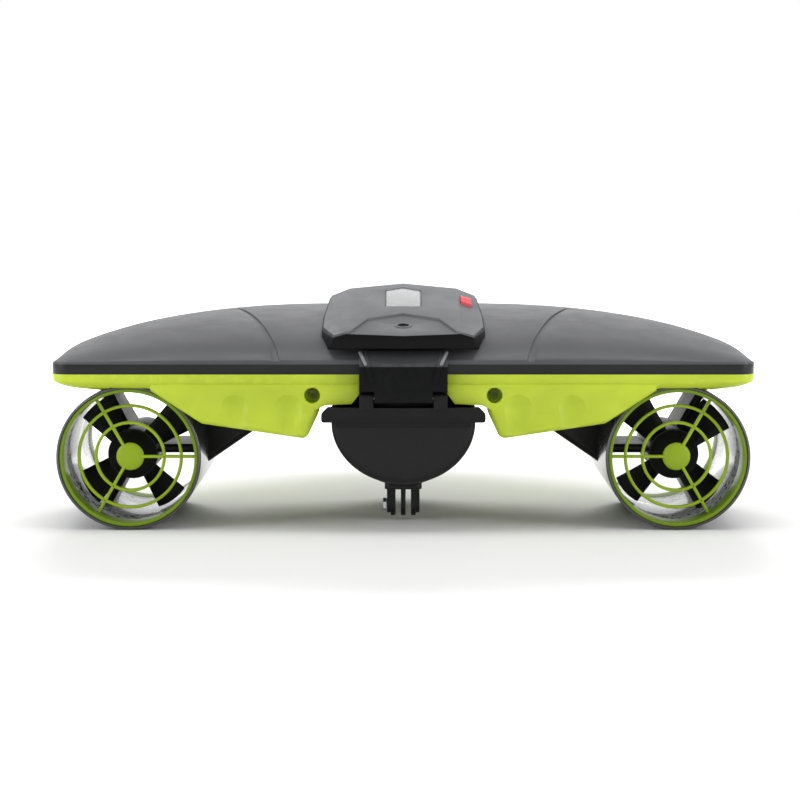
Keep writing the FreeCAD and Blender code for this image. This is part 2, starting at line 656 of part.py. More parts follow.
def right_outlet_guard():
    """Guard at the rear end, where the water leaves: rim, two rings, three spokes and a domed cap."""

    def at(depth):
        return (DUCT_X, DUCT_REAR_Y + depth, DUCT_RADIUS)

    outer = DUCT_SEAT_RADIUS - JOINT_GAP
    inner = outer - GUARD_RING_THICKNESS
    back = GUARD_FACE + GUARD_BAR_DEPTH
    parts = [ring(outer, inner, at(GUARD_RIM_SINK), at(GUARD_DEPTH))]
    for radius in GUARD_RING_RADII:
        parts.append(ring(radius + GUARD_BAR / 2, radius - GUARD_BAR / 2, at(GUARD_FACE), at(back)))
    low_y = at(GUARD_FACE)[1]
    for angle in SPOKE_ANGLES:
        bar = box(0, inner + 1, low_y, low_y + GUARD_BAR_DEPTH, -GUARD_BAR / 2, GUARD_BAR / 2)
        bar.rotate(V(0, 0, 0), V(0, 1, 0), -angle)
        bar.translate(V(DUCT_X, 0, DUCT_RADIUS))
        parts.append(bar)
    dome_radius = (GUARD_CAP_RADIUS ** 2 + GUARD_CAP_DOME ** 2) / (2 * GUARD_CAP_DOME)
    tip = GUARD_FACE - GUARD_CAP_PROUD
    cap = rod(GUARD_CAP_RADIUS, at(tip), at(back))
    parts.append(cap.common(Part.makeSphere(dome_radius, V(*at(tip + dome_radius)))))
    return fuse(parts)


def right_inlet_ring():
    """Open bell-mouth ring at the front end, where the water enters."""
    outer = DUCT_SEAT_RADIUS - JOINT_GAP
    front = DUCT_FRONT_Y - GUARD_RIM_SINK
    body = rod(outer, (DUCT_X, DUCT_FRONT_Y - GUARD_DEPTH, DUCT_RADIUS), (DUCT_X, front, DUCT_RADIUS))
    bore = rod(outer - GUARD_RING_THICKNESS, (DUCT_X, DUCT_FRONT_Y - GUARD_DEPTH - 1, DUCT_RADIUS),
               (DUCT_X, front + 1, DUCT_RADIUS))
    body = body.cut(bore)

    def inner_lip(edge):
        return edge.Curve.TypeId == "Part::GeomCircle" and abs(mid(edge).y - front) < 0.01 \
            and edge.Curve.Radius < outer - 1

    return rounded(body, GUARD_RING_THICKNESS - 0.8, inner_lip)


# Drive, right side

def axis_point(y):
    """A point on the propeller's axis."""
    return (DUCT_X, y, DUCT_RADIUS)


def right_motor_pod():
    """Motor housing on three struts that reach the duct's bore."""
    rear = MOTOR_REAR_Y
    front = MOTOR_REAR_Y + MOTOR_LENGTH
    body = rod(HUB_RADIUS, axis_point(rear), axis_point(front))
    nose = Part.makeSphere(HUB_RADIUS, V(*axis_point(front)))
    stretch = FreeCAD.Matrix()
    stretch.scale(1, MOTOR_NOSE / HUB_RADIUS, 1)
    nose.translate(V(-DUCT_X, -front, -DUCT_RADIUS))
    nose = nose.transformGeometry(stretch)
    nose.translate(V(*axis_point(front)))
    nose = nose.common(rod(HUB_RADIUS + 1, axis_point(front - 0.5), axis_point(front + MOTOR_NOSE + 1)))
    parts = [body, nose]
    for angle in SPOKE_ANGLES:
        fin = box(0, DUCT_BORE_RADIUS + 2, rear + 2, rear + 2 + STRUT_CHORD,
                  -STRUT_THICKNESS / 2, STRUT_THICKNESS / 2)
        fin = fin.makeFillet(STRUT_THICKNESS / 2 - 0.2, [e for e in fin.Edges if runs_along(e, (1, 0, 0))])
        fin.rotate(V(0, 0, 0), V(0, 1, 0), -angle)
        fin.translate(V(DUCT_X, 0, DUCT_RADIUS))
        parts.append(fin)
    pod = fuse(parts).common(rod(DUCT_BORE_RADIUS, axis_point(rear), axis_point(front + MOTOR_NOSE + 1)))
    inside = HUB_RADIUS - MOTOR_WALL
    cavity = rod(inside, axis_point(rear + BEARING_WIDTH + 1), axis_point(front - BEARING_WIDTH))
    seats = rod(BEARING_RADIUS, axis_point(rear), axis_point(front))
    return pod.cut([cavity, seats])


def right_motor_stator():
    """Wound ring fixed in the housing."""
    length = STATOR_LENGTH
    low = STATOR_REAR_Y
    body = rod(HUB_RADIUS - MOTOR_WALL, axis_point(low), axis_point(low + length))
    body = body.cut(rod(ROTOR_RADIUS + AIR_GAP, axis_point(low - 1), axis_point(low + length + 1)))
    slots = []
    for i in range(6):
        slot = box(ROTOR_RADIUS, HUB_RADIUS - MOTOR_WALL - 1.5, low - 1, low + length + 1, -1, 1)
        slot.rotate(V(0, 0, 0), V(0, 1, 0), 60 * i)
        slot.translate(V(DUCT_X, 0, DUCT_RADIUS))
        slots.append(slot)
    return body.cut(slots)


def right_motor_rotor():
    """Magnet drum on the shaft."""
    return ring(ROTOR_RADIUS, SHAFT_RADIUS, axis_point(STATOR_REAR_Y),
                axis_point(STATOR_REAR_Y + STATOR_LENGTH))


def right_bearings():
    """Two bearings, at the ends of the housing."""
    rear = MOTOR_REAR_Y
    front = MOTOR_REAR_Y + MOTOR_LENGTH
    inner = SHAFT_RADIUS + RUNNING_CLEARANCE
    return Part.makeCompound([
        ring(BEARING_RADIUS, inner, axis_point(rear + 1), axis_point(rear + 1 + BEARING_WIDTH)),
        ring(BEARING_RADIUS, inner, axis_point(front - BEARING_WIDTH), axis_point(front)),
    ])


def right_shaft():
    """Steel shaft from the spinner to the front bearing."""
    return rod(SHAFT_RADIUS, axis_point(PROP_REAR_Y - 5), axis_point(MOTOR_REAR_Y + MOTOR_LENGTH - 0.5))


def blade(turn):
    """One twisted blade, straight edged seen from behind."""
    wires = []
    reach = BLADE_TIP_RADIUS + 1.5
    start = HUB_RADIUS - 2.5
    middle_y = PROP_REAR_Y + HUB_LENGTH / 2
    for share in (0.0, 0.35, 0.7, 1.0):
        r = start + (reach - start) * share
        pitch = math.radians(BLADE_ROOT_ANGLE + (BLADE_TIP_ANGLE - BLADE_ROOT_ANGLE) * share)
        chord = BLADE_ROOT_CHORD + (BLADE_TIP_CHORD - BLADE_ROOT_CHORD) * share
        thick = BLADE_THICKNESS * (1 - 0.35 * share)
        outline = [
            (-0.5, 0.0),
            (-0.3, 0.42),
            (0.0, 0.5),
            (0.3, 0.35),
            (0.5, 0.0),
            (0.3, -0.35),
            (0.0, -0.5),
            (-0.3, -0.42),
        ]
        points = []
        for u, v in outline:
            across = u * chord * math.cos(pitch) - v * thick * math.sin(pitch)
            along = u * chord * math.sin(pitch) + v * thick * math.cos(pitch)
            points.append(V(r, middle_y + along, across))
        wires.append(Part.makePolygon(points + points[:1]))
    form = Part.makeLoft(wires, True, True)
    form.rotate(V(0, 0, 0), V(0, 1, 0), -turn)
    form.translate(V(DUCT_X, 0, DUCT_RADIUS))
    return form


def right_propeller(turn):
    """Hub and blades."""
    front = PROP_REAR_Y + HUB_LENGTH
    hub = rod(HUB_RADIUS, axis_point(PROP_REAR_Y), axis_point(front))
    reach = rod(BLADE_TIP_RADIUS, axis_point(PROP_REAR_Y - 20), axis_point(front + 20))
    blades = [blade(turn + i * 360 / BLADE_COUNT).common(reach) for i in range(BLADE_COUNT)]
    whole = fuse([hub] + blades)
    return whole.cut(rod(SHAFT_RADIUS, axis_point(PROP_REAR_Y - 1), axis_point(front + 1)))


def right_spinner():
    """Rounded nut that closes the hub behind the propeller."""
    low = PROP_REAR_Y - HUB_NOSE
    cone = Part.makeCone(SPINNER_TIP_RADIUS, HUB_RADIUS - 0.6, HUB_NOSE, V(*axis_point(low)), V(0, 1, 0))
    cone = rounded(cone, 3.0, lambda edge: edge.Curve.TypeId == "Part::GeomCircle" and mid(edge).y < low + 1)
    return cone.cut(rod(SHAFT_RADIUS, axis_point(PROP_REAR_Y - 5), axis_point(PROP_REAR_Y + 1)))


# Centre hull and battery

def bowl_section(y, half, low, deck, top):
    """Wire across the hull: a half ellipse under the deck height and upright sides above it."""
    points = []
    for i in range(9):
        angle = math.pi * i / 8
        points.append(V(half * math.cos(angle), y, deck - (deck - low) * math.sin(angle)))
    curve = Part.BSplineCurve()
    curve.interpolate(points)
    return Part.Wire([
        curve.toShape(),
        Part.makeLine(points[-1], V(-half, y, top)),
        Part.makeLine(V(-half, y, top), V(half, y, top)),
        Part.makeLine(V(half, y, top), points[0]),
    ])


def bay_form(inset, start, end):
    """The battery's cross-section pushed along the hull, smaller by the inset."""
    half = HULL_HALF_WIDTH - BAY_WALL - inset
    low = HULL_REAR_LOW_Z + BAY_WALL + inset
    top = HULL_DECK_Z - inset
    section = bowl_section(start, half, low, top - 1, top)
    return Part.Face(section).extrude(V(0, end - start, 0))


def centre_hull():
    """Black bowl under the body with the battery bay, and the spine up to the cover."""
    sections = [bowl_section(y, half, low, HULL_DECK_Z, BELLY_Z) for y, half, low in HULL_STATIONS]
    bowl = Part.makeLoft(sections, True, False)
    notch = box(SPINE_HALF_WIDTH, SPAN, 0, GRIP_DEPTH + JOINT_GAP, FLANGE_TOP_Z, PARTING_Z)
    spine = outline_prism(0.0, BELLY_Z, PARTING_Z)
    spine = spine.common(box(-SPINE_HALF_WIDTH, SPINE_HALF_WIDTH, GRIP_DEPTH - 1, SPAN, 0, PARTING_Z))
    chin = [(BODY_LENGTH - CHIN, BELLY_Z - 1), (BODY_LENGTH + 2, BELLY_Z - 1), (BODY_LENGTH + 2, BELLY_Z + 7)]
    spine = spine.cut(slab(chin, "yz", -40, 40))
    web = box(-SPINE_HALF_WIDTH, SPINE_HALF_WIDTH, SPINE_REAR_Y, GRIP_DEPTH,
              FLANGE_TOP_Z + JOINT_GAP, PARTING_Z)
    plate_room = box(-SPINE_HALF_WIDTH - 1, SPINE_HALF_WIDTH + 1, PLATE_REAR_Y, PLATE_FRONT_Y,
                     PLATE_LOW_Z, PARTING_Z + 1)
    hull = fuse([bowl.cut([notch, mirrored(notch)]), spine, web])
    bay = bay_form(0.0, SPINE_REAR_Y - 1, CAP_SEAT_Y + PLUG_LENGTH + BATTERY_LENGTH + 4)
    return hull.cut([bay, plate_room])


def battery_cap():
    """Rear end cap of the battery with its side flanges, the plug and the latch's ears."""
    rear = CAP_SEAT_Y - CAP_DEPTH
    bowl = bowl_section(rear, HULL_HALF_WIDTH, HULL_REAR_LOW_Z, HULL_DECK_Z - 5, HULL_DECK_Z)
    face = Part.Face(bowl).extrude(V(0, CAP_DEPTH, 0))
    outline = [(FLANGE_HALF_WIDTH, FLANGE_LOW_Z), (FLANGE_HALF_WIDTH, FLANGE_TOP_Z - FLANGE_SLOPE),
               (FLANGE_HALF_WIDTH - FLANGE_SLOPE, FLANGE_TOP_Z)]
    outline += [(-x, z) for x, z in reversed(outline)]
    flange = slab(outline, "xz", rear, CAP_SEAT_Y - JOINT_GAP)
    flange = rounded(flange, FLANGE_CORNER, lambda e: runs_along(e, (0, 1, 0)))
    cap = fuse([face, flange])

    def rear_rim(edge):
        return abs(mid(edge).y - rear) < 0.01 and mid(edge).z < FLANGE_LOW_Z - 6

    cap = rounded(cap, CAP_EDGE_ROUND, rear_rim)
    seat = bay_form(SLIDE_GAP, CAP_SEAT_Y - 1, CAP_SEAT_Y + PLUG_LENGTH)
    groove = bay_form(SLIDE_GAP, CAP_SEAT_Y + 2, CAP_SEAT_Y + 4)
    groove = groove.cut(bay_form(SLIDE_GAP + SEAL_DEPTH, CAP_SEAT_Y + 1, CAP_SEAT_Y + 5))
    ears = []
    y, z, r = LATCH_PIVOT_Y, LATCH_PIVOT_Z, LATCH_BARREL_RADIUS
    for side in (1, -1):
        near = side * (LATCH_BARREL_HALF + MOVING_GAP)
        far = side * LATCH_HALF_WIDTH
        ears.append(rod(r, (near, y, z), (far, y, z)))
        ears.append(box(min(near, far), max(near, far), y - r, y + r, FLANGE_TOP_Z - 1, z))
    slot = box(-CAP_SLOT_HALF_WIDTH, CAP_SLOT_HALF_WIDTH, rear - 1, rear + 1, CAP_SLOT_LOW_Z, FLANGE_LOW_Z)
    return fuse([cap, seat] + ears).cut([groove, slot, latch_pin()])


def cap_seal():
    """Rubber ring in the plug's groove."""
    outer = bay_form(SEAL_GAP, CAP_SEAT_Y + 2, CAP_SEAT_Y + 4)
    return outer.cut(bay_form(SLIDE_GAP + SEAL_DEPTH, CAP_SEAT_Y + 1, CAP_SEAT_Y + 5))


def battery_can():
    """Battery case that slides in the bay."""
    start = CAP_SEAT_Y + PLUG_LENGTH
    return bay_form(SLIDE_GAP + 1, start, start + BATTERY_LENGTH)


def battery_latch():
    """Lever over the rear of the neck, hinged at its foot, with a hook over the cover."""
    y, z, r = LATCH_PIVOT_Y, LATCH_PIVOT_Z, LATCH_BARREL_RADIUS
    rear = LATCH_REAR_Y
    thick = LATCH_THICKNESS
    outline = [
        (rear, LATCH_PIVOT_Z + 4.6),
        (rear, LATCH_KNEE_Z),
        (rear + 1.5, LATCH_KNEE_Z + 2.5),
        (LATCH_TIP_Y - 1.5, LATCH_TIP_Z),
        (LATCH_TIP_Y, LATCH_TIP_Z),
        (LATCH_TIP_Y, LATCH_TIP_Z - 2.4),
        (rear + thick, LATCH_KNEE_Z + 0.6),
        (rear + thick, LATCH_PIVOT_Z + 4.6),
    ]
    plate = slab(outline, "yz", -LATCH_HALF_WIDTH, LATCH_HALF_WIDTH)
    skirt = box(-LATCH_BARREL_HALF, LATCH_BARREL_HALF, rear, rear + 2.5, LATCH_PIVOT_Z - 2.6, LATCH_PIVOT_Z + 5)
    tongue = box(-LATCH_BARREL_HALF, LATCH_BARREL_HALF, rear, y, LATCH_PIVOT_Z - 1, LATCH_PIVOT_Z + 6)
    barrel = rod(r, (-LATCH_BARREL_HALF, y, z), (LATCH_BARREL_HALF, y, z))
    latch = fuse([plate, skirt, tongue, barrel])
    bore = rod(LATCH_PIN_RADIUS + RUNNING_CLEARANCE, (-LATCH_HALF_WIDTH, y, z), (LATCH_HALF_WIDTH, y, z))
    ribs = []
    for side in (1, -1):
        rib = slab([(side * 19, LATCH_KNEE_Z - 10), (side * 22.5, LATCH_KNEE_Z - 10),
                    (side * 27.5, LATCH_TIP_Z), (side * 24, LATCH_TIP_Z)], "xz", rear - 2, LATCH_TIP_Y - 1)
        trim = [(rear - 1.2, 0), (rear - 1.2, LATCH_KNEE_Z), (rear + 0.3, LATCH_KNEE_Z + 3.2),
                (LATCH_TIP_Y - 1.5, LATCH_TIP_Z + 0.6), (LATCH_TIP_Y, 0)]
        ribs.append(rib.common(slab(trim, "yz", -40, 40)))
    inner = slab([(rear + thick, 0), (rear + thick, LATCH_KNEE_Z + 0.6), (LATCH_TIP_Y + 1, LATCH_TIP_Z - 2.0),
                  (LATCH_TIP_Y + 1, 0)], "yz", -40, 40)
    ribs = [rib.cut(inner) for rib in ribs]
    return fuse([latch] + ribs).cut(bore)


def latch_pin():
    """Steel pin through the latch and the cap's ears."""
    return rod(LATCH_PIN_RADIUS, (-LATCH_HALF_WIDTH, LATCH_PIVOT_Y, LATCH_PIVOT_Z),
               (LATCH_HALF_WIDTH, LATCH_PIVOT_Y, LATCH_PIVOT_Z))


# Control pod

def pod_plane(drop, y):
    """Height of the pod's sloping top at y, lower by the drop."""
    return POD_LIP_LOW_Z + POD_LIP_HEIGHT + (y + POD_REAR) * math.tan(math.radians(POD_TILT)) - drop


def above_pod(drop):
    """Everything above the sloping plane, as a cutter."""
    low, high = -40.0, 180.0
    outline = [(low, pod_plane(drop, low)), (high, pod_plane(drop, high)), (high, SPAN), (low, SPAN)]
    return slab(outline, "yz", -90, 90)


def pod_points(inset):
    """The pod's outline, moved inwards."""
    right = []
    for x, y in POD_OUTLINE:
        middle = 50.0
        reach_y = POD_FRONT_Y - middle if y > middle else middle + POD_REAR
        right.append((x * (1 - inset / POD_HALF_WIDTH), middle + (y - middle) * (1 - inset / reach_y)))
    left = [(-x, y) for x, y in reversed(right) if x > 0]
    return right + left


def pod_prism(inset, low, high):
    """Upright prism on the pod's outline."""
    return slab(pod_points(inset), "xy", low, high)


def above_pod_cover(drop):
    """Everything above the pod's top with its two sloping sides, lower by the drop."""
    cutter = above_pod(drop)
    reach = POD_HALF_WIDTH + 6
    fall = POD_FACET_DROP * (reach - POD_FACET_X) / (POD_HALF_WIDTH - POD_FACET_X)
    for side in (1, -1):
        wires = []
        for y in (-20.0, POD_FRONT_Y + 10):
            z = pod_plane(drop, y)
            corners = [V(side * POD_FACET_X, y, z), V(side * reach, y, z - fall), V(side * reach, y, z + 30),
                       V(side * POD_FACET_X, y, z + 30)]
            wires.append(Part.makePolygon(corners + corners[:1]))
        cutter = cutter.fuse(Part.makeLoft(wires, True, True))
    return cutter


def pod_slab(points, top_drop, bottom_drop):
    """A flat outline between two planes parallel to the pod's top."""
    block = slab(points, "xy", POD_LIP_LOW_Z - 20, SPAN / 2)
    return block.cut(above_pod_cover(top_drop)).common(above_pod_cover(bottom_drop))


def pod_base():
    """Black plinth of the control pod, with its overhanging rear lip."""
    plinth = pod_prism(0.0, BAND_TOP_Z, POD_LIP_LOW_Z + 1)
    plinth = plinth.common(box(-SPAN, SPAN, PLINTH_REAR_Y, BODY_LENGTH, BAND_TOP_Z, POD_LIP_LOW_Z + 1))
    body = pod_prism(0.0, POD_LIP_LOW_Z, SPAN / 2).fuse(plinth)
    seat = pod_prism(POD_COVER_INSET - JOINT_GAP, POD_LIP_LOW_Z, SPAN / 2)
    seat = seat.common(above_pod_cover(POD_COVER_THICKNESS))
    body = body.cut([above_pod_cover(POD_RIM_DROP), seat, crown()])
    slider_room = pod_slab(slider_points(FLANGE_MARGIN + SLIDER_PLAY, SLIDER_TRAVEL + SLIDER_PLAY),
                           POD_COVER_THICKNESS - 1, POD_COVER_THICKNESS + SLIDER_FLANGE + SLIDER_PLAY)
    hole = rod(CHEVRON_HOLE_RADIUS, (0, CHEVRON_HOLE_Y, POD_LIP_LOW_Z + 3), (0, CHEVRON_HOLE_Y, SPAN / 2))
    screw_holes = pod_screw_rods(SCREW_RADIUS, POD_SCREW_SEAT + 1, 0)
    head_wells = pod_screw_rods(SCREW_HEAD_RADIUS + JOINT_GAP, POD_SCREW_SEAT + POD_HALF_WIDTH, POD_SCREW_SEAT)
    return body.cut([board_room(), slider_room, hole] + screw_holes + head_wells)


def board_room():
    """The well for the display board, through the plinth and the cover below it."""
    return pod_slab(window_points(BOARD_MARGIN), POD_COVER_THICKNESS - 1,
                    POD_COVER_THICKNESS + BOARD_DEPTH + WALL)


def window_points(margin):
    """Outline of the display window, larger by the margin."""
    half = WINDOW_WIDTH / 2 + margin
    return [
        (half, WINDOW_REAR_Y - margin),
        (half, WINDOW_FRONT_Y + margin / 2),
        (0.0, WINDOW_POINT_Y + margin),
        (-half, WINDOW_FRONT_Y + margin / 2),
        (-half, WINDOW_REAR_Y - margin),
    ]


def slider_points(margin, travel=0.0):
    """Outline of the slider's knob, or of the room it moves in."""
    half = SLIDER_WIDTH / 2 + margin
    low = SLIDER_Y - SLIDER_LENGTH / 2 - margin
    high = SLIDER_Y + SLIDER_LENGTH / 2 + margin + travel
    return [(SLIDER_X - half, low), (SLIDER_X + half, low), (SLIDER_X + half, high), (SLIDER_X - half, high)]


def pod_screw_rods(radius, low, high):
    """Rods square to the pod's top at its screws, between two depths below it."""
    return [rod(radius, tuple(top - way * low), tuple(top - way * high)) for top, way in pod_screw_places()]


def pod_screw_places():
    """Points on the pod's top above its screws, each with the direction square to the top."""
    tilt = math.radians(POD_TILT)
    way = V(0, -math.sin(tilt), math.cos(tilt))
    return [(V(side * x, y, pod_plane(0, y)), way) for x, y in POD_SCREWS for side in (1, -1)]


def pod_cover():
    """Grey top of the control pod, with the chevron, the window's seat and the slider's slot."""
    top = pod_prism(POD_COVER_INSET, POD_LIP_LOW_Z, SPAN / 2).cut(above_pod_cover(0.0))
    top = top.common(above_pod_cover(POD_COVER_THICKNESS))
    top = top.makeChamfer(POD_CHAMFER, [edge for edge in top.Edges if on_rear_rim(edge)])
    chevron = [(CHEVRON[0][0], -POD_REAR - 5), CHEVRON[0], CHEVRON[1], CHEVRON[2]]
    chevron += [(-x, y) for x, y in reversed(chevron[:-1])]
    cutters = [
        pod_slab(chevron, -3.0, CHEVRON_DEPTH),
        pod_slab(window_points(JOINT_GAP), -3.0, WINDOW_THICKNESS + 0.3),
        pod_slab(window_points(-WINDOW_LEDGE), -3.0, POD_COVER_THICKNESS + 2),
        pod_slab(slider_points(SLIDER_PLAY, SLIDER_TRAVEL), -3.0, POD_COVER_THICKNESS + 2),
        rod(CHEVRON_HOLE_RADIUS, (0, CHEVRON_HOLE_Y, POD_LIP_LOW_Z), (0, CHEVRON_HOLE_Y, SPAN / 2)),
    ]
    cutters += pod_screw_rods(SCREW_RADIUS, POD_COVER_THICKNESS + 2, POD_SCREW_TIP)
    return top.cut(cutters)


def on_rear_rim(edge):
    """True for the edges between the pod's top plane and its rear faces."""
    point = mid(edge)
    return point.y < 0 and abs(point.x) > 0.01 and abs(point.z - pod_plane(0, point.y)) < 0.01


def display_window():
    """Light window over the display."""
    return pod_slab(window_points(0.0), 0.3, WINDOW_THICKNESS + 0.3)


def display_board():
    """Display on its board, under the window."""
    low = POD_COVER_THICKNESS + BOARD_DEPTH
    board = pod_slab(window_points(1.5), low - 1.6, low)
    half = WINDOW_WIDTH / 2 - WINDOW_LEDGE - 2 * JOINT_GAP
    panel = [(half, WINDOW_REAR_Y + 3), (half, WINDOW_FRONT_Y - 3), (-half, WINDOW_FRONT_Y - 3),
             (-half, WINDOW_REAR_Y + 3)]
    return fuse([board, pod_slab(panel, WINDOW_THICKNESS + 2 * JOINT_GAP, low - 1)])


def lock_slider():
    """Red slider with a flange under the pod's top."""
    knob = pod_slab(slider_points(0.0), -SLIDER_PROUD, POD_COVER_THICKNESS + 0.5)
    flange = pod_slab(slider_points(FLANGE_MARGIN), POD_COVER_THICKNESS + SLIDER_PLAY / 4,
                      POD_COVER_THICKNESS + SLIDER_FLANGE)
    slider = fuse([knob, flange])
    for step in (-4.0, 0.0, 4.0):
        y = SLIDER_Y + step
        groove = [(SLIDER_X - 6, y - 0.7), (SLIDER_X + 6, y - 0.7),
                  (SLIDER_X + 6, y + 0.7), (SLIDER_X - 6, y + 0.7)]
        slider = slider.cut(pod_slab(groove, -SLIDER_PROUD - 1, -SLIDER_PROUD + 0.8))
    return slider


# Camera foot

def camera_foot():
    """Plate under the hull with three prongs."""
    plate = box(-FOOT_PLATE_HALF_WIDTH, FOOT_PLATE_HALF_WIDTH, FOOT_Y - 13, FOOT_Y + 13,
                HULL_LOW_Z - FOOT_PLATE_THICKNESS, HULL_LOW_Z + 6)
    plate = rounded(plate, 4.0, lambda e: runs_along(e, (0, 0, 1)))
    hole_z = FOOT_LOW_Z + PRONG_RADIUS
    parts = [plate]
    pitch = PRONG_THICKNESS + PRONG_GAP
    for x in (-pitch, 0.0, pitch):
        low, high = x - PRONG_THICKNESS / 2, x + PRONG_THICKNESS / 2
        parts.append(rod(PRONG_RADIUS, (low, FOOT_Y, hole_z), (high, FOOT_Y, hole_z)))
        parts.append(box(low, high, FOOT_Y - PRONG_RADIUS, FOOT_Y + PRONG_RADIUS, hole_z, HULL_LOW_Z))
    edge_x = pitch + PRONG_THICKNESS / 2
    for side in (1, -1):
        near, far = side * (edge_x - 1), side * (edge_x + NUT_BOSS)
        parts.append(rod(PRONG_BOSS_RADIUS, (near, FOOT_Y, hole_z), (far, FOOT_Y, hole_z)))
        parts.append(box(min(near, far), max(near, far), FOOT_Y - PRONG_BOSS_RADIUS, FOOT_Y + PRONG_BOSS_RADIUS,
                         hole_z, HULL_LOW_Z))
    foot = fuse(parts)
    hole = rod(PRONG_HOLE_RADIUS, (-30, FOOT_Y, hole_z), (30, FOOT_Y, hole_z))
    nut_room = hex_prism(NUT_ACROSS / 2 + 0.05, -edge_x - NUT_BOSS - 1,
                         -edge_x - NUT_BOSS + NUT_SEAT, FOOT_Y, hole_z)
    bowl = Part.makeLoft([bowl_section(y, half, low, HULL_DECK_Z, BELLY_Z) for y, half, low in HULL_STATIONS],
                         True, False)
    return foot.cut([hole, nut_room, bowl])


def hex_prism(apothem, x0, x1, y, z):
    """Six-sided rod along X."""
    reach = apothem / math.cos(math.radians(30))
    points = [(y + reach * math.cos(math.radians(60 * i)), z + reach * math.sin(math.radians(60 * i)))
              for i in range(6)]
    return slab(points, "yz", x0, x1)


def camera_nut():
    """Steel nut held in the left boss."""
    hole_z = FOOT_LOW_Z + PRONG_RADIUS
    outer_x = -(PRONG_THICKNESS + PRONG_GAP + PRONG_THICKNESS / 2 + NUT_BOSS)
    nut = hex_prism(NUT_ACROSS / 2, outer_x - NUT_PROUD, outer_x + NUT_SEAT, FOOT_Y, hole_z)
    return nut.cut(rod(PRONG_HOLE_RADIUS, (outer_x - 5, FOOT_Y, hole_z), (outer_x + 5, FOOT_Y, hole_z)))


def pod_screws():
    """Four screws that hold the pod's top to its base, driven from below."""
    screws = []
    for top, way in pod_screw_places():
        low = top - way * (POD_SCREW_SEAT + SCREW_HEAD)
        head = rod(SCREW_HEAD_RADIUS, tuple(low), tuple(low + way * SCREW_HEAD))
        shank = rod(SCREW_RADIUS, tuple(low + way), tuple(top - way * (POD_SCREW_TIP + JOINT_GAP)))
        screws.append(fuse([head, shank]).cut(hex_socket(tuple(low), tuple(way))))
    return Part.makeCompound(screws)


def main():
    """Builds every piece, moves it to the shared frame and writes its file."""
    pieces = {
        "top_cover": top_cover(),
        "chassis_plate": chassis_plate(),
        "main_board": main_board(),
        "cover_screws": cover_screws(),
        "grip_screws": grip_screws(),
        "centre_hull": centre_hull(),
        "battery_cap": battery_cap(),
        "cap_seal": cap_seal(),
        "battery_can": battery_can(),
        "battery_latch": battery_latch(),
        "latch_pin": latch_pin(),
        "pod_base": pod_base(),
        "pod_cover": pod_cover(),
        "pod_screws": pod_screws(),
        "display_window": display_window(),
        "display_board": display_board(),
        "lock_slider": lock_slider(),
        "camera_foot": camera_foot(),
        "camera_nut": camera_nut(),
    }
    right_side = {
        "lower_shell": right_lower_shell(),
        "trigger": right_trigger(),
        "trigger_pin": right_trigger_pin(),
        "arm": right_arm(),
        "duct": right_duct(),
        "outlet_guard": right_outlet_guard(),
        "inlet_ring": right_inlet_ring(),
        "motor_pod": right_motor_pod(),
        "motor_stator": right_motor_stator(),
        "motor_rotor": right_motor_rotor(),
        "bearings": right_bearings(),
        "shaft": right_shaft(),
        "spinner": right_spinner(),
    }
    for name, shape in right_side.items():
        pieces["right_" + name] = shape
        pieces["left_" + name] = mirrored(shape)
    pieces["right_propeller"] = right_propeller(BLADE_TURN_RIGHT)
    pieces["left_propeller"] = mirrored(right_propeller(180 - BLADE_TURN_LEFT))
    os.makedirs("parts", exist_ok=True)
    for name, shape in pieces.items():
        shape.translate(V(0, Y_SHIFT, 0))
        shape.exportStep("parts/" + name + ".step")


main()
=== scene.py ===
"""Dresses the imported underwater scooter: moulded edges, finishes, small surface detail, light and camera."""
import bmesh
import bpy
import math
from mathutils import Matrix, Vector


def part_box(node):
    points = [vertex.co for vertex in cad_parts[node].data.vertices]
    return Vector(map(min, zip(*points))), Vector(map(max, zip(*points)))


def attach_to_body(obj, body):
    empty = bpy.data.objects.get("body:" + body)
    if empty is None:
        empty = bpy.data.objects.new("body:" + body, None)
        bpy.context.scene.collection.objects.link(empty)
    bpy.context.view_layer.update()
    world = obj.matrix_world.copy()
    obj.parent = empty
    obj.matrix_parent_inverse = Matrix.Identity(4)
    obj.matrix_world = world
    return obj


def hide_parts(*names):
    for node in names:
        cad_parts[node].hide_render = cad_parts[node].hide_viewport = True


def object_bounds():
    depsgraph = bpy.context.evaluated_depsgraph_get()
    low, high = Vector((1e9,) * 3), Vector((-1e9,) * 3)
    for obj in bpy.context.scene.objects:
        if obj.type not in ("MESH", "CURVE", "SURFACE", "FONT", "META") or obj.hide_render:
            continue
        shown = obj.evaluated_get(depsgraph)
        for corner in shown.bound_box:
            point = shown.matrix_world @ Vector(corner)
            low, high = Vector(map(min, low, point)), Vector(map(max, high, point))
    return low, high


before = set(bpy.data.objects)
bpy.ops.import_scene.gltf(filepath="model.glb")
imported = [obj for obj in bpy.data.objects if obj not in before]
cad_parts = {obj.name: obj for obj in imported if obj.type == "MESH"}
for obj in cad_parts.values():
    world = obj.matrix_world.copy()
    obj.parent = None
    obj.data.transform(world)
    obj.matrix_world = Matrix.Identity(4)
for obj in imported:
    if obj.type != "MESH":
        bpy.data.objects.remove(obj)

CAD_BOX = [list(corner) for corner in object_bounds()]

bl_info = {
    "name": "Underwater scooter dresser",
    "version": (1, 0, 0),
    "blender": (4, 5, 0),
    "location": "View3D > Sidebar > Scooter",
    "description": "Finishes, edge rounding, surface detail and stage for a twin-duct underwater scooter",
    "category": "Object",
}

MM = 0.001
SIDES = ("left", "right")
WHITE = (1.0, 1.0, 1.0, 1.0)

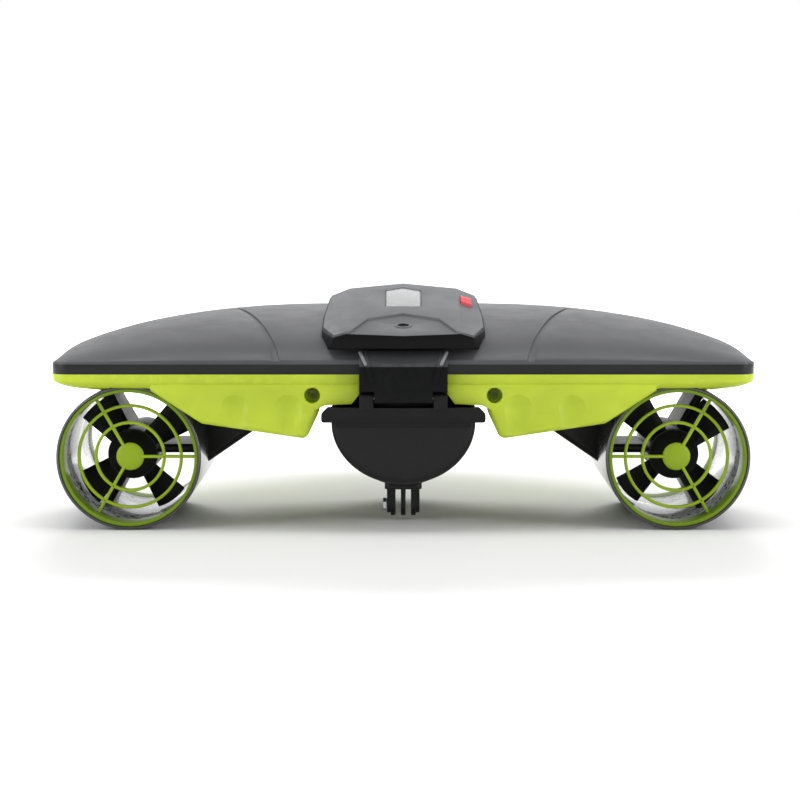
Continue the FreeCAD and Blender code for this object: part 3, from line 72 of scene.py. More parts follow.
# Finishes: distances, steps of rounded edges and sweeps, and colours of what is inside
WELD_DISTANCE = 0.001 * MM
JOIN_DISTANCE = 0.0001 * MM
BEVEL_STEPS = 2
FILLET_STEPS = 4
FILLET_SHARE = 0.3
SPOKE_START = 0.8
GUARD_STEPS = 112
RIB_STEPS = 14
ZONE_BLUR = 0.4 * MM
FINE_BLUR = 0.2 * MM
LINING_MARGIN = 0.4 * MM
SPECK_SPACING = 3.6 * MM
WORN_LIFT = 0.8
COPPER = (0.45, 0.17, 0.06)
LAMINATIONS = (0.07, 0.06, 0.055)
BOARD_GREENS = ((0.01, 0.09, 0.035, 1.0), (0.015, 0.13, 0.05, 1.0), (0.03, 0.2, 0.09, 1.0))

# Small pieces: a profile's rows are millimetres of radius and height
RIDGE_ENDS = ((24.4, -129.6, 110.2), (28.2, -122.2, 117.6))
RIDGE_NOSE = ((0.0, 1.0), (0.8, 0.6), (1.1, 0.0))
RING_SINK = 0.4 * MM
RING_RISE = 0.5 * MM
RING_BEVEL = 0.3 * MM
RING_SHOULDER_WIDTH = 0.35 * MM
RING_SHOULDER_DROP = 0.25 * MM
CUP_COLLAR = ((1.6, -3.2), (1.8, -1.6), (2.4, -1.6), (2.6, -3.2))
CUP_TOP = -0.3 * MM
CUP_FLOOR = -3.2 * MM
CUP_BOTTOM = -3.6 * MM
CUP_HALF_WALL = 0.1 * MM
NUT_COLLAR = ((2.7, 0.5), (4.4, 0.5), (4.4, -1.5), (4.0, -1.9), (2.7, -1.9))

# Stage: each lamp has the setting that holds its power, its place, what it points at and its size
FLOOR_REACH = 6.0
FLOOR_DROP = 0.2 * MM
FLOOR_GREYS = ((0.78, 0.78, 0.78), (0.80, 0.80, 0.80))
FLOOR_FADE = (0.3, 0.6)
SENSOR_WIDTH = 36.0
LAMPS = (
    ("Back light", "back", (0.0, 1.8, 1.22), (0.0, 0.0, 0.06), (1.2, 0.5)),
    ("Top light", "top", (0.0, -0.1, 0.95), (0.0, -0.1, 0.1), (1.5, 0.25)),
    ("Left light", "side", (-1.1, -0.6, 0.5), (-0.1, 0.0, 0.08), (0.5, 0.9)),
    ("Right light", "side", (1.1, -0.6, 0.5), (0.1, 0.0, 0.08), (0.5, 0.9)),
)


# Settings

def colour(name, text, value):
    """A colour property."""
    return bpy.props.FloatVectorProperty(
        name=name, description=text, subtype="COLOR", size=3, min=0.0, max=1.0, default=value
    )


def length(name, text, value, low=0.0, high=1.0):
    """A length property in metres."""
    return bpy.props.FloatProperty(
        name=name, description=text, subtype="DISTANCE", unit="LENGTH", min=low, max=high, default=value
    )


def angle(name, text, degrees):
    """An angle property."""
    return bpy.props.FloatProperty(
        name=name, description=text, subtype="ANGLE", min=0.0, max=math.pi, default=math.radians(degrees)
    )


def count(name, text, value):
    """A property that counts pieces."""
    return bpy.props.IntProperty(name=name, description=text, min=1, max=40, default=value)


def watts(name, text, value):
    """A lamp's power."""
    return bpy.props.FloatProperty(
        name=name, description=text, subtype="POWER", unit="POWER", min=0.0, max=1000.0, default=value
    )


class ScooterColours(bpy.types.PropertyGroup):
    """Colours of the mouldings, rubber and metals, with painted light and painted shade in some of them."""

    # Cover and band are one dark plastic: the cover's paler charcoal is painted sheen and the band's
    # near-black is painted shade, which the cap's top and the pod's lip share.
    cover: colour("Cover", "Charcoal of the crowned cover", (0.075, 0.076, 0.08))
    band: colour("Cover band", "Black of the band along the cover's edge", (0.004, 0.004, 0.0045))
    shell: colour("Shells", "Lime green of the lower shells and grips", (0.48, 0.6, 0.032))
    guard: colour("Guards", "Lime green of the guards' bars and caps", (0.27, 0.39, 0.012))
    # Deeper green on the guards' rims is painted shade on their inner faces.
    shaded_guard_rim: colour("Guard rims", "Deeper green of the guards' rims", (0.15, 0.24, 0.008))
    hull: colour("Hull", "Black of the hull, arms and latch", (0.005, 0.0052, 0.0056))
    # Painted shade: the cap's face takes this black and its top the band's darker black, copying a shading
    # step.
    cap: colour("Cap face", "Black of the battery cap's round face", (0.009, 0.009, 0.0095))
    # Painted light: the latch's sloping top is a lighter charcoal than the hull's black, though it lies in the
    # pod lip's shadow.
    lit_latch_top: colour("Latch top", "Charcoal of the latch's sloping top", (0.06, 0.061, 0.064))
    # The ridges' pale grey is a painted highlight, standing for glints on their edges.
    ridge: colour("Latch ridges", "Grey of the two ridges on the latch", (0.2, 0.2, 0.21))
    pod: colour("Pod top", "Grey of the control pod's top", (0.105, 0.108, 0.114))
    window: colour("Window", "Light grey of the display window", (0.3, 0.302, 0.308))
    slider: colour("Slider", "Red of the lock slider", (0.72, 0.075, 0.095))
    duct: colour("Ducts", "Dark grey of the duct shrouds", (0.028, 0.03, 0.033))
    bore: colour("Duct bores", "Light lining inside the ducts", (0.55, 0.56, 0.58))
    drive: colour("Drive", "Black of the propellers and motor pods", (0.006, 0.006, 0.0065))
    plate: colour("Inner plate", "Dark grey of the inner plate", (0.05, 0.05, 0.052))
    battery: colour("Battery case", "Metal of the battery's case", (0.3, 0.31, 0.33))
    seal: colour("Seal", "Black rubber of the battery's seal", (0.012, 0.012, 0.012))
    steel: colour("Steel", "Steel of the screws, pins and camera nut", (0.56, 0.56, 0.57))


class ScooterSizes(bpy.types.PropertyGroup):
    """Sizes of the finishing work."""

    edge: length("Moulded edge", "Rounding on the edges of the mouldings", 0.0004)
    fine_edge: length("Fine edge", "Rounding on small parts", 0.0002)
    grain: length("Grain size", "Size of the moulded grain", 0.0005)
    band_top: length("Band top", "Height of the band's upper edge", 0.1096)
    pane_half: length("Window pane", "Half width of the window's light pane", 0.0113)
    hole_place: bpy.props.FloatVectorProperty(
        name="Pod hole", description="Middle of the hole on the pod's recess",
        subtype="XYZ", unit="LENGTH", size=3, default=(0.0, -0.1045, 0.1339),
    )
    hole_ring: length("Hole ring", "Outer radius of the ring round the pod's hole", 0.0058)
    hole: length("Hole", "Radius of the pod's hole", 0.0039)
    pod_tilt: angle("Pod tilt", "Slope of the pod's top", 12.4)
    latch_knee: length("Latch knee", "Height where the latch's top begins to slope", 0.1088)
    cap_face: length("Cap face", "Height of the upper edge of the battery cap's face", 0.069)
    duct_bore: length("Duct bore", "Radius of the lined bore", 0.0432)
    rim_inside: length("Rim inside", "Radius where a guard's rim begins", 0.0423)
    rim_width: length("Guard rim", "Thickness of a guard's rim", 0.0026)
    inner_ring: length("Inner ring", "Middle radius of a guard's inner ring", 0.0225)
    outer_ring: length("Outer ring", "Middle radius of a guard's outer ring", 0.0337)
    bar_width: length("Bar width", "Width of a guard's rings and spokes", 0.002)
    bar_depth: length("Bar depth", "Depth of a guard's rings and spokes", 0.0032)
    bar_sink: length("Bar sink", "From a guard's rear face to the middle of its bars", 0.0085)
    spokes: count("Spokes", "Spokes of a guard", 3)
    cap_radius: length("Cap radius", "Radius of a guard's domed cap", 0.0092)
    cap_dome: length("Cap dome", "Height of a guard's cap over its middle", 0.0026)
    trigger_slope: angle("Trigger slope", "Slope of a trigger's front face", 8.5)
    ribs: count("Trigger ribs", "Ribs across the front of a trigger", 4)
    rib_spacing: length("Rib spacing", "From one rib of a trigger to the next", 0.0023)
    rib_radius: length("Rib radius", "Radius of a trigger's ribs", 0.0007)
    rib_rise: length("Rib rise", "From the trigger's lower end to its lowest rib", 0.0032)
    rib_sink: length("Rib sink", "Depth of the ribs' middle under the trigger's front", 0.0003)
    rib_share: bpy.props.FloatProperty(
        name="Rib share", description="Length of the ribs as a share of the trigger's width",
        subtype="FACTOR", min=0.1, max=1.0, default=0.8,
    )
    crease: angle("Crease angle", "Edges sharper than this are kept and rounded", 32.0)


class ScooterStage(bpy.types.PropertyGroup):
    """Camera, floor and lights."""

    distance: length("Camera distance", "From the aim point to the camera", 1.3, 0.2, 5.0)
    elevation: angle("Camera elevation", "Angle above the horizon", 6.0)
    lens: bpy.props.FloatProperty(
        name="Lens", description="Focal length on a 36 mm sensor", default=89.9, min=10.0, max=300.0
    )
    aim_x: length("Aim sideways", "Sideways offset of the aim point", -0.0022, -1.0, 1.0)
    aim_y: length("Aim depth", "From the rear edge to the aim point", 0.009, -1.0, 1.0)
    aim_z: length("Aim height", "Height of the aim point", 0.0865, -1.0, 1.0)
    back: watts("Back light", "Power of the light behind", 42.0)
    top: watts("Top light", "Power of the light above", 5.0)
    side: watts("Side lights", "Power of each side light", 6.0)
    world: bpy.props.FloatProperty(
        name="World", description="Strength of the plain world light", min=0.0, max=10.0, default=0.5
    )


# Node helpers

def new_material(name):
    """An empty node material with its output."""
    material = bpy.data.materials.new(name)
    material.use_nodes = True
    tree = material.node_tree
    tree.nodes.clear()
    output = tree.nodes.new("ShaderNodeOutputMaterial")
    output.location = (900, 0)
    shader = tree.nodes.new("ShaderNodeBsdfPrincipled")
    shader.location = (600, 0)
    tree.links.new(shader.outputs["BSDF"], output.inputs["Surface"])
    return material, tree, shader


def feed(tree, item, socket):
    """Links an input where the item is a socket, and sets it otherwise."""
    if isinstance(item, bpy.types.NodeSocket):
        tree.links.new(item, socket)
    else:
        socket.default_value = item


def add(tree, kind, settings=None, **inputs):
    """A node with inputs given as sockets or values; underscores in a name stand for spaces."""
    node = tree.nodes.new(kind)
    for key, value in (settings or {}).items():
        setattr(node, key, value)
    for key, item in inputs.items():
        feed(tree, item, node.inputs[key.replace("_", " ")])
    return node


def calculate(tree, operation, *items):
    """The result of a sum on sockets or numbers."""
    node = add(tree, "ShaderNodeMath", {"operation": operation})
    for item, socket in zip(items, node.inputs):
        feed(tree, item, socket)
    return node.outputs["Value"]


def object_coordinates(tree):
    """Coordinates fixed to the piece."""
    return add(tree, "ShaderNodeTexCoord").outputs["Object"]


def ramp(tree, source, low, high, first, second):
    """A smooth change from first to second as the source goes from low to high."""
    return add(tree, "ShaderNodeMapRange", {"interpolation_type": "SMOOTHSTEP"}, Value=source,
               From_Min=low, From_Max=high, To_Min=first, To_Max=second).outputs["Result"]


def below(tree, value, limit, blur):
    """1 below a limit and 0 above it, blurred by a distance to each side."""
    return ramp(tree, value, limit - blur, limit + blur, 1.0, 0.0)


def noise(tree, coordinates, size, detail=4.0, roughness=0.55):
    """Noise with features of about the given size in metres."""
    return add(tree, "ShaderNodeTexNoise", Vector=coordinates, Scale=1.0 / size, Detail=detail,
               Roughness=roughness).outputs["Fac"]


def clouds(tree, coordinates, size, detail=3.0):
    """Soft patches from 0 to 1 of about the given size in metres."""
    return ramp(tree, noise(tree, coordinates, size, detail), 0.3, 0.7, 0.0, 1.0)


def smears(tree, coordinates, size, smooth, rough, roughness=0.55):
    """Roughness made uneven by handling, in patches of about the given size in metres."""
    return ramp(tree, noise(tree, coordinates, size, 5.0, roughness), 0.3, 0.75, smooth, rough)


def mix_colour(tree, factor, first, second):
    """A colour between two, each a socket or a colour, by a factor socket."""
    node = add(tree, "ShaderNodeMix", {"data_type": "RGBA"})
    tree.links.new(factor, node.inputs[0])
    ends = [socket for socket in node.inputs if socket.type == "RGBA"]
    for item, socket in zip((first, second), ends):
        feed(tree, item if isinstance(item, bpy.types.NodeSocket) else (*item, 1.0), socket)
    return next(socket for socket in node.outputs if socket.type == "RGBA")


def times(value, factor):
    """A colour made lighter or darker."""
    return tuple(min(1.0, part * factor) for part in value)


def clouded(tree, coordinates, base, size, dark, light):
    """A colour that drifts in patches between a darker and a lighter tone."""
    return mix_colour(tree, clouds(tree, coordinates, size), times(base, dark), times(base, light))


def wear_mask(tree, coordinates):
    """High where an edge is exposed, broken up by noise."""
    geometry = add(tree, "ShaderNodeNewGeometry")
    edge = ramp(tree, geometry.outputs["Pointiness"], 0.52, 0.60, 0.0, 1.0)
    patches = ramp(tree, noise(tree, coordinates, 0.006), 0.42, 0.62, 0.0, 1.0)
    return calculate(tree, "MULTIPLY", edge, patches)


def bump(tree, shader, height, strength, distance):
    """Links a height into the shader's normal."""
    node = add(tree, "ShaderNodeBump", Height=height, Strength=strength, Distance=distance)
    tree.links.new(node.outputs["Normal"], shader.inputs["Normal"])


def lacquer(shader, weight, roughness):
    """Gives a shader its clear coat."""
    shader.inputs["Coat Weight"].default_value = weight
    shader.inputs["Coat Roughness"].default_value = roughness


# Zones of a piece that take another colour; all but the window's dark sides hold painted light and painted
# shade

def part_of(tree, vector, axis):
    """One coordinate of a vector socket."""
    return add(tree, "ShaderNodeSeparateXYZ", Vector=vector).outputs[axis]


def above_height(tree, coordinates, height):
    """1 above a height and 0 below it."""
    return ramp(tree, part_of(tree, coordinates, "Z"), height - ZONE_BLUR, height + ZONE_BLUR, 0.0, 1.0)


def from_duct_axis(tree, coordinates, centre):
    """Distance from the nearer duct's axis."""
    across = calculate(tree, "ABSOLUTE", part_of(tree, coordinates, "X"))
    flat = add(tree, "ShaderNodeCombineXYZ", X=across, Z=part_of(tree, coordinates, "Z"))
    away = add(tree, "ShaderNodeVectorMath", {"operation": "DISTANCE"})
    away.inputs[1].default_value = (centre[0], 0.0, centre[1])
    tree.links.new(flat.outputs["Vector"], away.inputs[0])
    return away.outputs["Value"]


def within_rim(tree, coordinates, centre, radius):
    """1 on the bars and cap of a guard, 0 on its rim, which gets the rims' painted shade."""
    return below(tree, from_duct_axis(tree, coordinates, centre), radius, ZONE_BLUR)


def within_half_width(tree, coordinates, half):
    """1 in the middle of a piece, 0 along its sides."""
    return below(tree, calculate(tree, "ABSOLUTE", part_of(tree, coordinates, "X")), half, FINE_BLUR)


# Materials

def moulded_plastic(name, base, rough, specular=0.5, wear=0.25, relief=0.0002, coarseness=1.0, coat=0.0,
                    zone=None, zone_colour=None):
    """Injection-moulded plastic: fine grain, cloudy colour, handling marks and pale exposed edges.

    Relief is the grain's depth in metres and coarseness its size against the usual one. A zone gives 1
    where the piece has its own colour and 0 where it has the zone's colour.
    """
    material, tree, shader = new_material(name)
    coordinates = object_coordinates(tree)
    body = clouded(tree, coordinates, base, size=0.05, dark=0.93, light=1.07)
    # The zones used here paint light and shade: painted shade on the cover's band, the cap's top and the
    # guards' rims, painted light on the latch's top.
    if zone:
        body = mix_colour(tree, zone(tree, coordinates), zone_colour, body)
    paler = ramp(tree, wear_mask(tree, coordinates), 0.0, 1.0, 1.0, 1.0 + WORN_LIFT * wear)
    worn = add(tree, "ShaderNodeHueSaturation", Color=body, Value=paler)
    tree.links.new(worn.outputs["Color"], shader.inputs["Base Color"])
    handled = smears(tree, coordinates, size=0.018, smooth=rough - 0.04, rough=rough + 0.06, roughness=0.62)
    tree.links.new(handled, shader.inputs["Roughness"])
    shader.inputs["Specular IOR Level"].default_value = specular
    lacquer(shader, weight=coat, roughness=0.12)
    grain = bpy.context.scene.scooter_sizes.grain * coarseness
    grained = noise(tree, coordinates, grain, detail=2.0, roughness=0.5)
    bump(tree, shader, grained, strength=0.35, distance=relief)
    return material


def brushed_metal(name, base, rough):
    """Turned or brushed steel with fine lines and small marks."""
    material, tree, shader = new_material(name)
    stretch = add(tree, "ShaderNodeMapping", Vector=object_coordinates(tree), Scale=(1.0, 14.0, 14.0))
    lines = noise(tree, stretch.outputs["Vector"], 0.004, detail=3.0)
    body = mix_colour(tree, ramp(tree, lines, 0.3, 0.7, 0.0, 1.0), times(base, 0.86), times(base, 1.1))
    tree.links.new(body, shader.inputs["Base Color"])
    tree.links.new(ramp(tree, lines, 0.25, 0.75, rough - 0.06, rough + 0.1), shader.inputs["Roughness"])
    shader.inputs["Metallic"].default_value = 1.0
    bump(tree, shader, lines, strength=0.2, distance=0.00005)
    return material


def duct_shroud(name, outside, inside, centre, bore_radius):
    """Dark glossy shroud whose bore has a pale lining with dark specks."""
    material, tree, shader = new_material(name)
    coordinates = object_coordinates(tree)
    cells = add(tree, "ShaderNodeTexVoronoi", {"feature": "F1"}, Vector=coordinates,
                Scale=1.0 / SPECK_SPACING, Randomness=1.0)
    reach = ramp(tree, noise(tree, coordinates, 0.009, detail=3.0), 0.33, 0.62, 0.1, 0.5)
    speck = calculate(tree, "LESS_THAN", cells.outputs["Distance"], reach)
    lining = mix_colour(tree, speck, inside, times(outside, 1.4))
    outer = clouded(tree, coordinates, outside, size=0.04, dark=0.9, light=1.12)
    away = from_duct_axis(tree, coordinates, centre)
    lined = below(tree, away, bore_radius + LINING_MARGIN, FINE_BLUR)
    tree.links.new(mix_colour(tree, lined, outer, lining), shader.inputs["Base Color"])
    gloss = smears(tree, coordinates, size=0.015, smooth=0.16, rough=0.26)
    tree.links.new(gloss, shader.inputs["Roughness"])
    lacquer(shader, weight=0.5, roughness=0.08)
    bump(tree, shader, noise(tree, coordinates, 0.0012, detail=2.0), strength=0.12, distance=0.0001)
    return material


def frosted_window(name, base, half_width):
    """Light window with a faint layered depth and dark sides."""
    material, tree, shader = new_material(name)
    coordinates = object_coordinates(tree)
    cloud = clouds(tree, coordinates, 0.012)
    pane = mix_colour(tree, cloud, times(base, 0.95), times(base, 1.06))
    whole = mix_colour(tree, within_half_width(tree, coordinates, half_width), times(base, 0.04), pane)
    tree.links.new(whole, shader.inputs["Base Color"])
    tree.links.new(ramp(tree, cloud, 0.0, 1.0, 0.18, 0.3), shader.inputs["Roughness"])
    lacquer(shader, weight=0.8, roughness=0.06)
    bump(tree, shader, noise(tree, coordinates, 0.0012, detail=2.0), strength=0.05, distance=0.00002)
    return material


def wound_motor(name):
    """Copper windings between dark laminations."""
    material, tree, shader = new_material(name)
    wave = add(tree, "ShaderNodeTexWave", {"bands_direction": "Y"}, Vector=object_coordinates(tree),
               Scale=420.0, Distortion=0.6)
    body = mix_colour(tree, wave.outputs["Fac"], LAMINATIONS, COPPER)
    tree.links.new(body, shader.inputs["Base Color"])
    shader.inputs["Metallic"].default_value = 0.8
    tree.links.new(ramp(tree, wave.outputs["Fac"], 0.0, 1.0, 0.5, 0.3), shader.inputs["Roughness"])
    bump(tree, shader, wave.outputs["Fac"], strength=0.4, distance=0.0002)
    return material


def circuit_board(name):
    """Lacquered board with a fine pattern of tracks."""
    material, tree, shader = new_material(name)
    coordinates = object_coordinates(tree)
    brick = add(tree, "ShaderNodeTexBrick", Vector=coordinates, Scale=240.0, Color1=BOARD_GREENS[0],
                Color2=BOARD_GREENS[1], Mortar=BOARD_GREENS[2])
    tree.links.new(brick.outputs["Color"], shader.inputs["Base Color"])
    gloss = ramp(tree, noise(tree, coordinates, 0.01), 0.3, 0.7, 0.25, 0.4)
    tree.links.new(gloss, shader.inputs["Roughness"])
    bump(tree, shader, brick.outputs["Fac"], strength=0.3, distance=0.0001)
    return material


# Edge finish

def edge_finish_tree():
    """Geometry Nodes tree that joins a piece's triangles and shades it smooth up to a crease angle."""
    tree = bpy.data.node_groups.new("Moulded edge finish", "GeometryNodeTree")
    tree.interface.new_socket("Geometry", in_out="INPUT", socket_type="NodeSocketGeometry")
    tree.interface.new_socket("Join distance", in_out="INPUT", socket_type="NodeSocketFloat")
    tree.interface.new_socket("Crease angle", in_out="INPUT", socket_type="NodeSocketFloat")
    tree.interface.new_socket("Geometry", in_out="OUTPUT", socket_type="NodeSocketGeometry")
    start = tree.nodes.new("NodeGroupInput")
    end = tree.nodes.new("NodeGroupOutput")
    join = tree.nodes.new("GeometryNodeMergeByDistance")
    bend = tree.nodes.new("GeometryNodeInputMeshEdgeAngle")
    smooth = tree.nodes.new("FunctionNodeCompare")
    smooth.data_type = "FLOAT"
    smooth.operation = "LESS_EQUAL"
    faces = tree.nodes.new("GeometryNodeSetShadeSmooth")
    faces.domain = "FACE"
    edges = tree.nodes.new("GeometryNodeSetShadeSmooth")
    edges.domain = "EDGE"
    link = tree.links.new
    link(start.outputs["Geometry"], join.inputs["Geometry"])
    link(start.outputs["Join distance"], join.inputs["Distance"])
    link(bend.outputs["Unsigned Angle"], smooth.inputs["A"])
    link(start.outputs["Crease angle"], smooth.inputs["B"])
    link(join.outputs["Geometry"], faces.inputs["Geometry"])
    link(faces.outputs["Geometry"], edges.inputs["Geometry"])
    link(smooth.outputs["Result"], edges.inputs["Shade Smooth"])
    link(edges.outputs["Geometry"], end.inputs["Geometry"])
    return tree


def socket_identifier(tree, name):
    """The identifier of a tree's named input."""
    return next(item.identifier for item in tree.interface.items_tree
                if item.name == name and item.in_out == "INPUT")


def finish_edges(piece, width):
    """Joins, rounds and shades a piece with live modifiers."""
    sizes = bpy.context.scene.scooter_sizes
    tree = bpy.data.node_groups.get("Moulded edge finish") or edge_finish_tree()
    join = piece.modifiers.new("Join", "WELD")
    join.merge_threshold = WELD_DISTANCE
    if width > 0:
        bevel = piece.modifiers.new("Round", "BEVEL")
        bevel.width = width
        bevel.segments = BEVEL_STEPS
        bevel.limit_method = "ANGLE"
        bevel.angle_limit = sizes.crease
        bevel.use_clamp_overlap = True
    shade = piece.modifiers.new("Shade", "NODES")
    shade.node_group = tree
    shade[socket_identifier(tree, "Join distance")] = JOIN_DISTANCE
    shade[socket_identifier(tree, "Crease angle")] = sizes.crease


def paint(piece, material):
    """Puts one material in all of a piece's slots."""
    if not piece.material_slots:
        piece.data.materials.append(material)
    for slot in piece.material_slots:
        slot.material = material


def dress(names, material, width):
    """Finishes CAD nodes with one material."""
    for name in names:
        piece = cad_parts[name]
        paint(piece, material)
        finish_edges(piece, width)


def both(name):
    """The node's name on both sides."""
    return ["%s_%s" % (side, name) for side in SIDES]


# Pieces made by Geometry Nodes

class Nodes:
    """Short way to write a Geometry Nodes tree."""

    def __init__(self, name, inputs):
        self.tree = bpy.data.node_groups.new(name, "GeometryNodeTree")
        for label, kind in inputs.items():
            self.tree.interface.new_socket(label, in_out="INPUT", socket_type=kind)
        self.tree.interface.new_socket("Geometry", in_out="OUTPUT", socket_type="NodeSocketGeometry")
        self.given = self.tree.nodes.new("NodeGroupInput").outputs
        self.end = self.tree.nodes.new("NodeGroupOutput")

    def add(self, kind, settings=None, **inputs):
        """The first output of a node with inputs given as sockets or values."""
        return add(self.tree, kind, settings, **inputs).outputs[0]

    def value(self, operation, first, second):
        """The result of a sum on two sockets or numbers."""
        return calculate(self.tree, operation, first, second)

    def vector(self, **parts):
        """A vector from sockets or numbers for its coordinates."""
        return self.add("ShaderNodeCombineXYZ", **parts)

    def line(self, start, stop):
        """A straight curve along X."""
        start, stop = self.vector(X=start), self.vector(X=stop)
        return self.add("GeometryNodeCurvePrimitiveLine", Start=start, End=stop)

    def circle(self, radius, steps):
        """A round curve in the XY plane."""
        return self.add("GeometryNodeCurvePrimitiveCircle", Radius=radius, Resolution=steps)

    def rounded_profile(self, width, height):
        """A rounded rectangle to sweep along a curve."""
        outline = self.add("GeometryNodeCurvePrimitiveQuadrilateral", Width=width, Height=height)
        radius = self.value("MULTIPLY", width, FILLET_SHARE)
        return self.add("GeometryNodeFilletCurve", {"mode": "POLY"}, Curve=outline, Radius=radius,
                        Count=FILLET_STEPS)

    def sweep(self, curve, profile, capped=False):
        """A profile swept along a curve."""
        return self.add("GeometryNodeCurveToMesh", Curve=curve, Profile_Curve=profile, Fill_Caps=capped)

    def join(self, parts):
        """Several geometries as one."""
        node = self.tree.nodes.new("GeometryNodeJoinGeometry")
        for part in parts:
            self.tree.links.new(part, node.inputs[0])
        return node.outputs[0]

    def finish(self, geometry):
        """Ends the tree with real geometry and its material."""
        real = self.add("GeometryNodeRealizeInstances", Geometry=geometry)
        painted = self.add("GeometryNodeSetMaterial", Geometry=real, Material=self.given["Material"])
        self.tree.links.new(painted, self.end.inputs["Geometry"])
        return self.tree


def guard_tree():
    """Rim, rings, spokes and domed cap of a duct guard, lying flat round the origin."""
    nodes = Nodes("Duct guard", {
        "Rim radius": "NodeSocketFloat",
        "Rim width": "NodeSocketFloat",
        "Rim depth": "NodeSocketFloat",
        "Inner ring": "NodeSocketFloat",
        "Outer ring": "NodeSocketFloat",
        "Bar width": "NodeSocketFloat",
        "Bar depth": "NodeSocketFloat",
        "Bar sink": "NodeSocketFloat",
        "Spokes": "NodeSocketInt",
        "Cap radius": "NodeSocketFloat",
        "Cap depth": "NodeSocketFloat",
        "Material": "NodeSocketMaterial",
    })
    given = nodes.given
    rim_middle = nodes.value("SUBTRACT", given["Rim radius"], nodes.value("DIVIDE", given["Rim width"], 2.0))
    rim_profile = nodes.rounded_profile(given["Rim width"], given["Rim depth"])
    rim = nodes.sweep(nodes.circle(rim_middle, GUARD_STEPS), rim_profile)
    half_depth = nodes.vector(Z=nodes.value("DIVIDE", given["Rim depth"], -2.0))
    rim = nodes.add("GeometryNodeTransform", Geometry=rim, Translation=half_depth)
    bar = nodes.rounded_profile(given["Bar width"], given["Bar depth"])
    rings = [nodes.sweep(nodes.circle(given[name], GUARD_STEPS), bar)
             for name in ("Inner ring", "Outer ring")]
    within_cap = nodes.value("MULTIPLY", given["Cap radius"], SPOKE_START)
    spoke = nodes.sweep(nodes.line(within_cap, rim_middle), bar, capped=True)
    places = nodes.add("GeometryNodeMeshLine", {"mode": "OFFSET"}, Count=given["Spokes"], Offset=(0, 0, 0))
    step = nodes.value("DIVIDE", math.tau, given["Spokes"])
    turn = nodes.vector(Z=nodes.value("MULTIPLY", nodes.add("GeometryNodeInputIndex"), step))
    spokes = nodes.add("GeometryNodeInstanceOnPoints", Points=places, Instance=spoke,
                       Rotation=nodes.add("FunctionNodeEulerToRotation", Euler=turn))
    ball = nodes.add("GeometryNodeMeshUVSphere", Radius=given["Cap radius"], Segments=64, Rings=32)
    flat = nodes.vector(X=1.0, Y=1.0, Z=nodes.value("DIVIDE", given["Cap depth"], given["Cap radius"]))
    cap = nodes.add("GeometryNodeTransform", Geometry=ball, Scale=flat)
    grille = nodes.add("GeometryNodeTransform", Geometry=nodes.join(rings + [spokes, cap]),
                       Translation=nodes.vector(Z=given["Bar sink"]))
    return nodes.finish(nodes.join([rim, grille]))


def rib_tree():
    """A row of rounded ribs along Z, each lying along X."""
    nodes = Nodes("Row of ribs", {
        "Count": "NodeSocketInt",
        "Spacing": "NodeSocketFloat",
        "Rib length": "NodeSocketFloat",
        "Rib radius": "NodeSocketFloat",
        "Material": "NodeSocketMaterial",
    })
    given = nodes.given
    half = nodes.value("DIVIDE", given["Rib length"], 2.0)
    other_half = nodes.value("MULTIPLY", half, -1.0)
    circle = nodes.circle(given["Rib radius"], RIB_STEPS)
    rib = nodes.sweep(nodes.line(other_half, half), circle, capped=True)
    row = nodes.add("GeometryNodeMeshLine", {"mode": "OFFSET"}, Count=given["Count"],
                    Offset=nodes.vector(Z=given["Spacing"]))
    return nodes.finish(nodes.add("GeometryNodeInstanceOnPoints", Points=row, Instance=rib))


def grown(name, tree, values, place):
    """A plain mesh piece from a tree, its inputs set by identifier, moved into place in its mesh."""
    seed = bpy.data.objects.new(name + "_seed", bpy.data.meshes.new(name + "_seed"))
    bpy.context.collection.objects.link(seed)
    modifier = seed.modifiers.new("Grow", "NODES")
    modifier.node_group = tree
    for label, value in values.items():
        modifier[socket_identifier(tree, label)] = value
    bpy.context.view_layer.update()
    evaluated = seed.evaluated_get(bpy.context.evaluated_depsgraph_get())
    mesh = bpy.data.meshes.new_from_object(evaluated)
    seed.modifiers.remove(modifier)
    bpy.data.objects.remove(seed)
    mesh.name = name
    mesh.transform(place)
    piece = bpy.data.objects.new(name, mesh)
    bpy.context.collection.objects.link(piece)
    recalculate(mesh)
    return piece


def millimetres(rows):
    """Rows of millimetres turned to metres."""
    return [tuple(value * MM for value in row) for row in rows]


def recalculate(mesh):
    """Merges doubles, points every face outwards and shades it smooth up to the crease angle."""
    sheet = bmesh.new()
    sheet.from_mesh(mesh)
    bmesh.ops.remove_doubles(sheet, verts=sheet.verts, dist=JOIN_DISTANCE)
    bmesh.ops.recalc_face_normals(sheet, faces=sheet.faces)
    crease = bpy.context.scene.scooter_sizes.crease
    for face in sheet.faces:
        face.smooth = True
    for edge in sheet.edges:
        edge.smooth = len(edge.link_faces) == 2 and edge.calc_face_angle(0.0) < crease
    sheet.to_mesh(mesh)
    sheet.free()


def turned(name, profile, place, closed=True, steps=72):
    """A solid turned round Z from a profile of radius and height, moved into place in its mesh."""
    sheet = bmesh.new()
    rows = []
    for step in range(steps):
        turn = math.tau * step / steps
        rows.append([sheet.verts.new((r * math.cos(turn), r * math.sin(turn), z)) for r, z in profile])
    last = len(profile) if closed else len(profile) - 1
    for step in range(steps):
        here, there = rows[step], rows[(step + 1) % steps]
        for index in range(last):
            after = (index + 1) % len(profile)
            sheet.faces.new((here[index], there[index], there[after], here[after]))
    mesh = bpy.data.meshes.new(name)
    sheet.to_mesh(mesh)
    sheet.free()
    mesh.transform(place)
    piece = bpy.data.objects.new(name, mesh)
    bpy.context.collection.objects.link(piece)
    recalculate(mesh)
    return piece


# Small pieces

def attach(piece, material, body):
    """Gives a new piece its material and the body it moves with."""
    paint(piece, material)
    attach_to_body(piece, body)


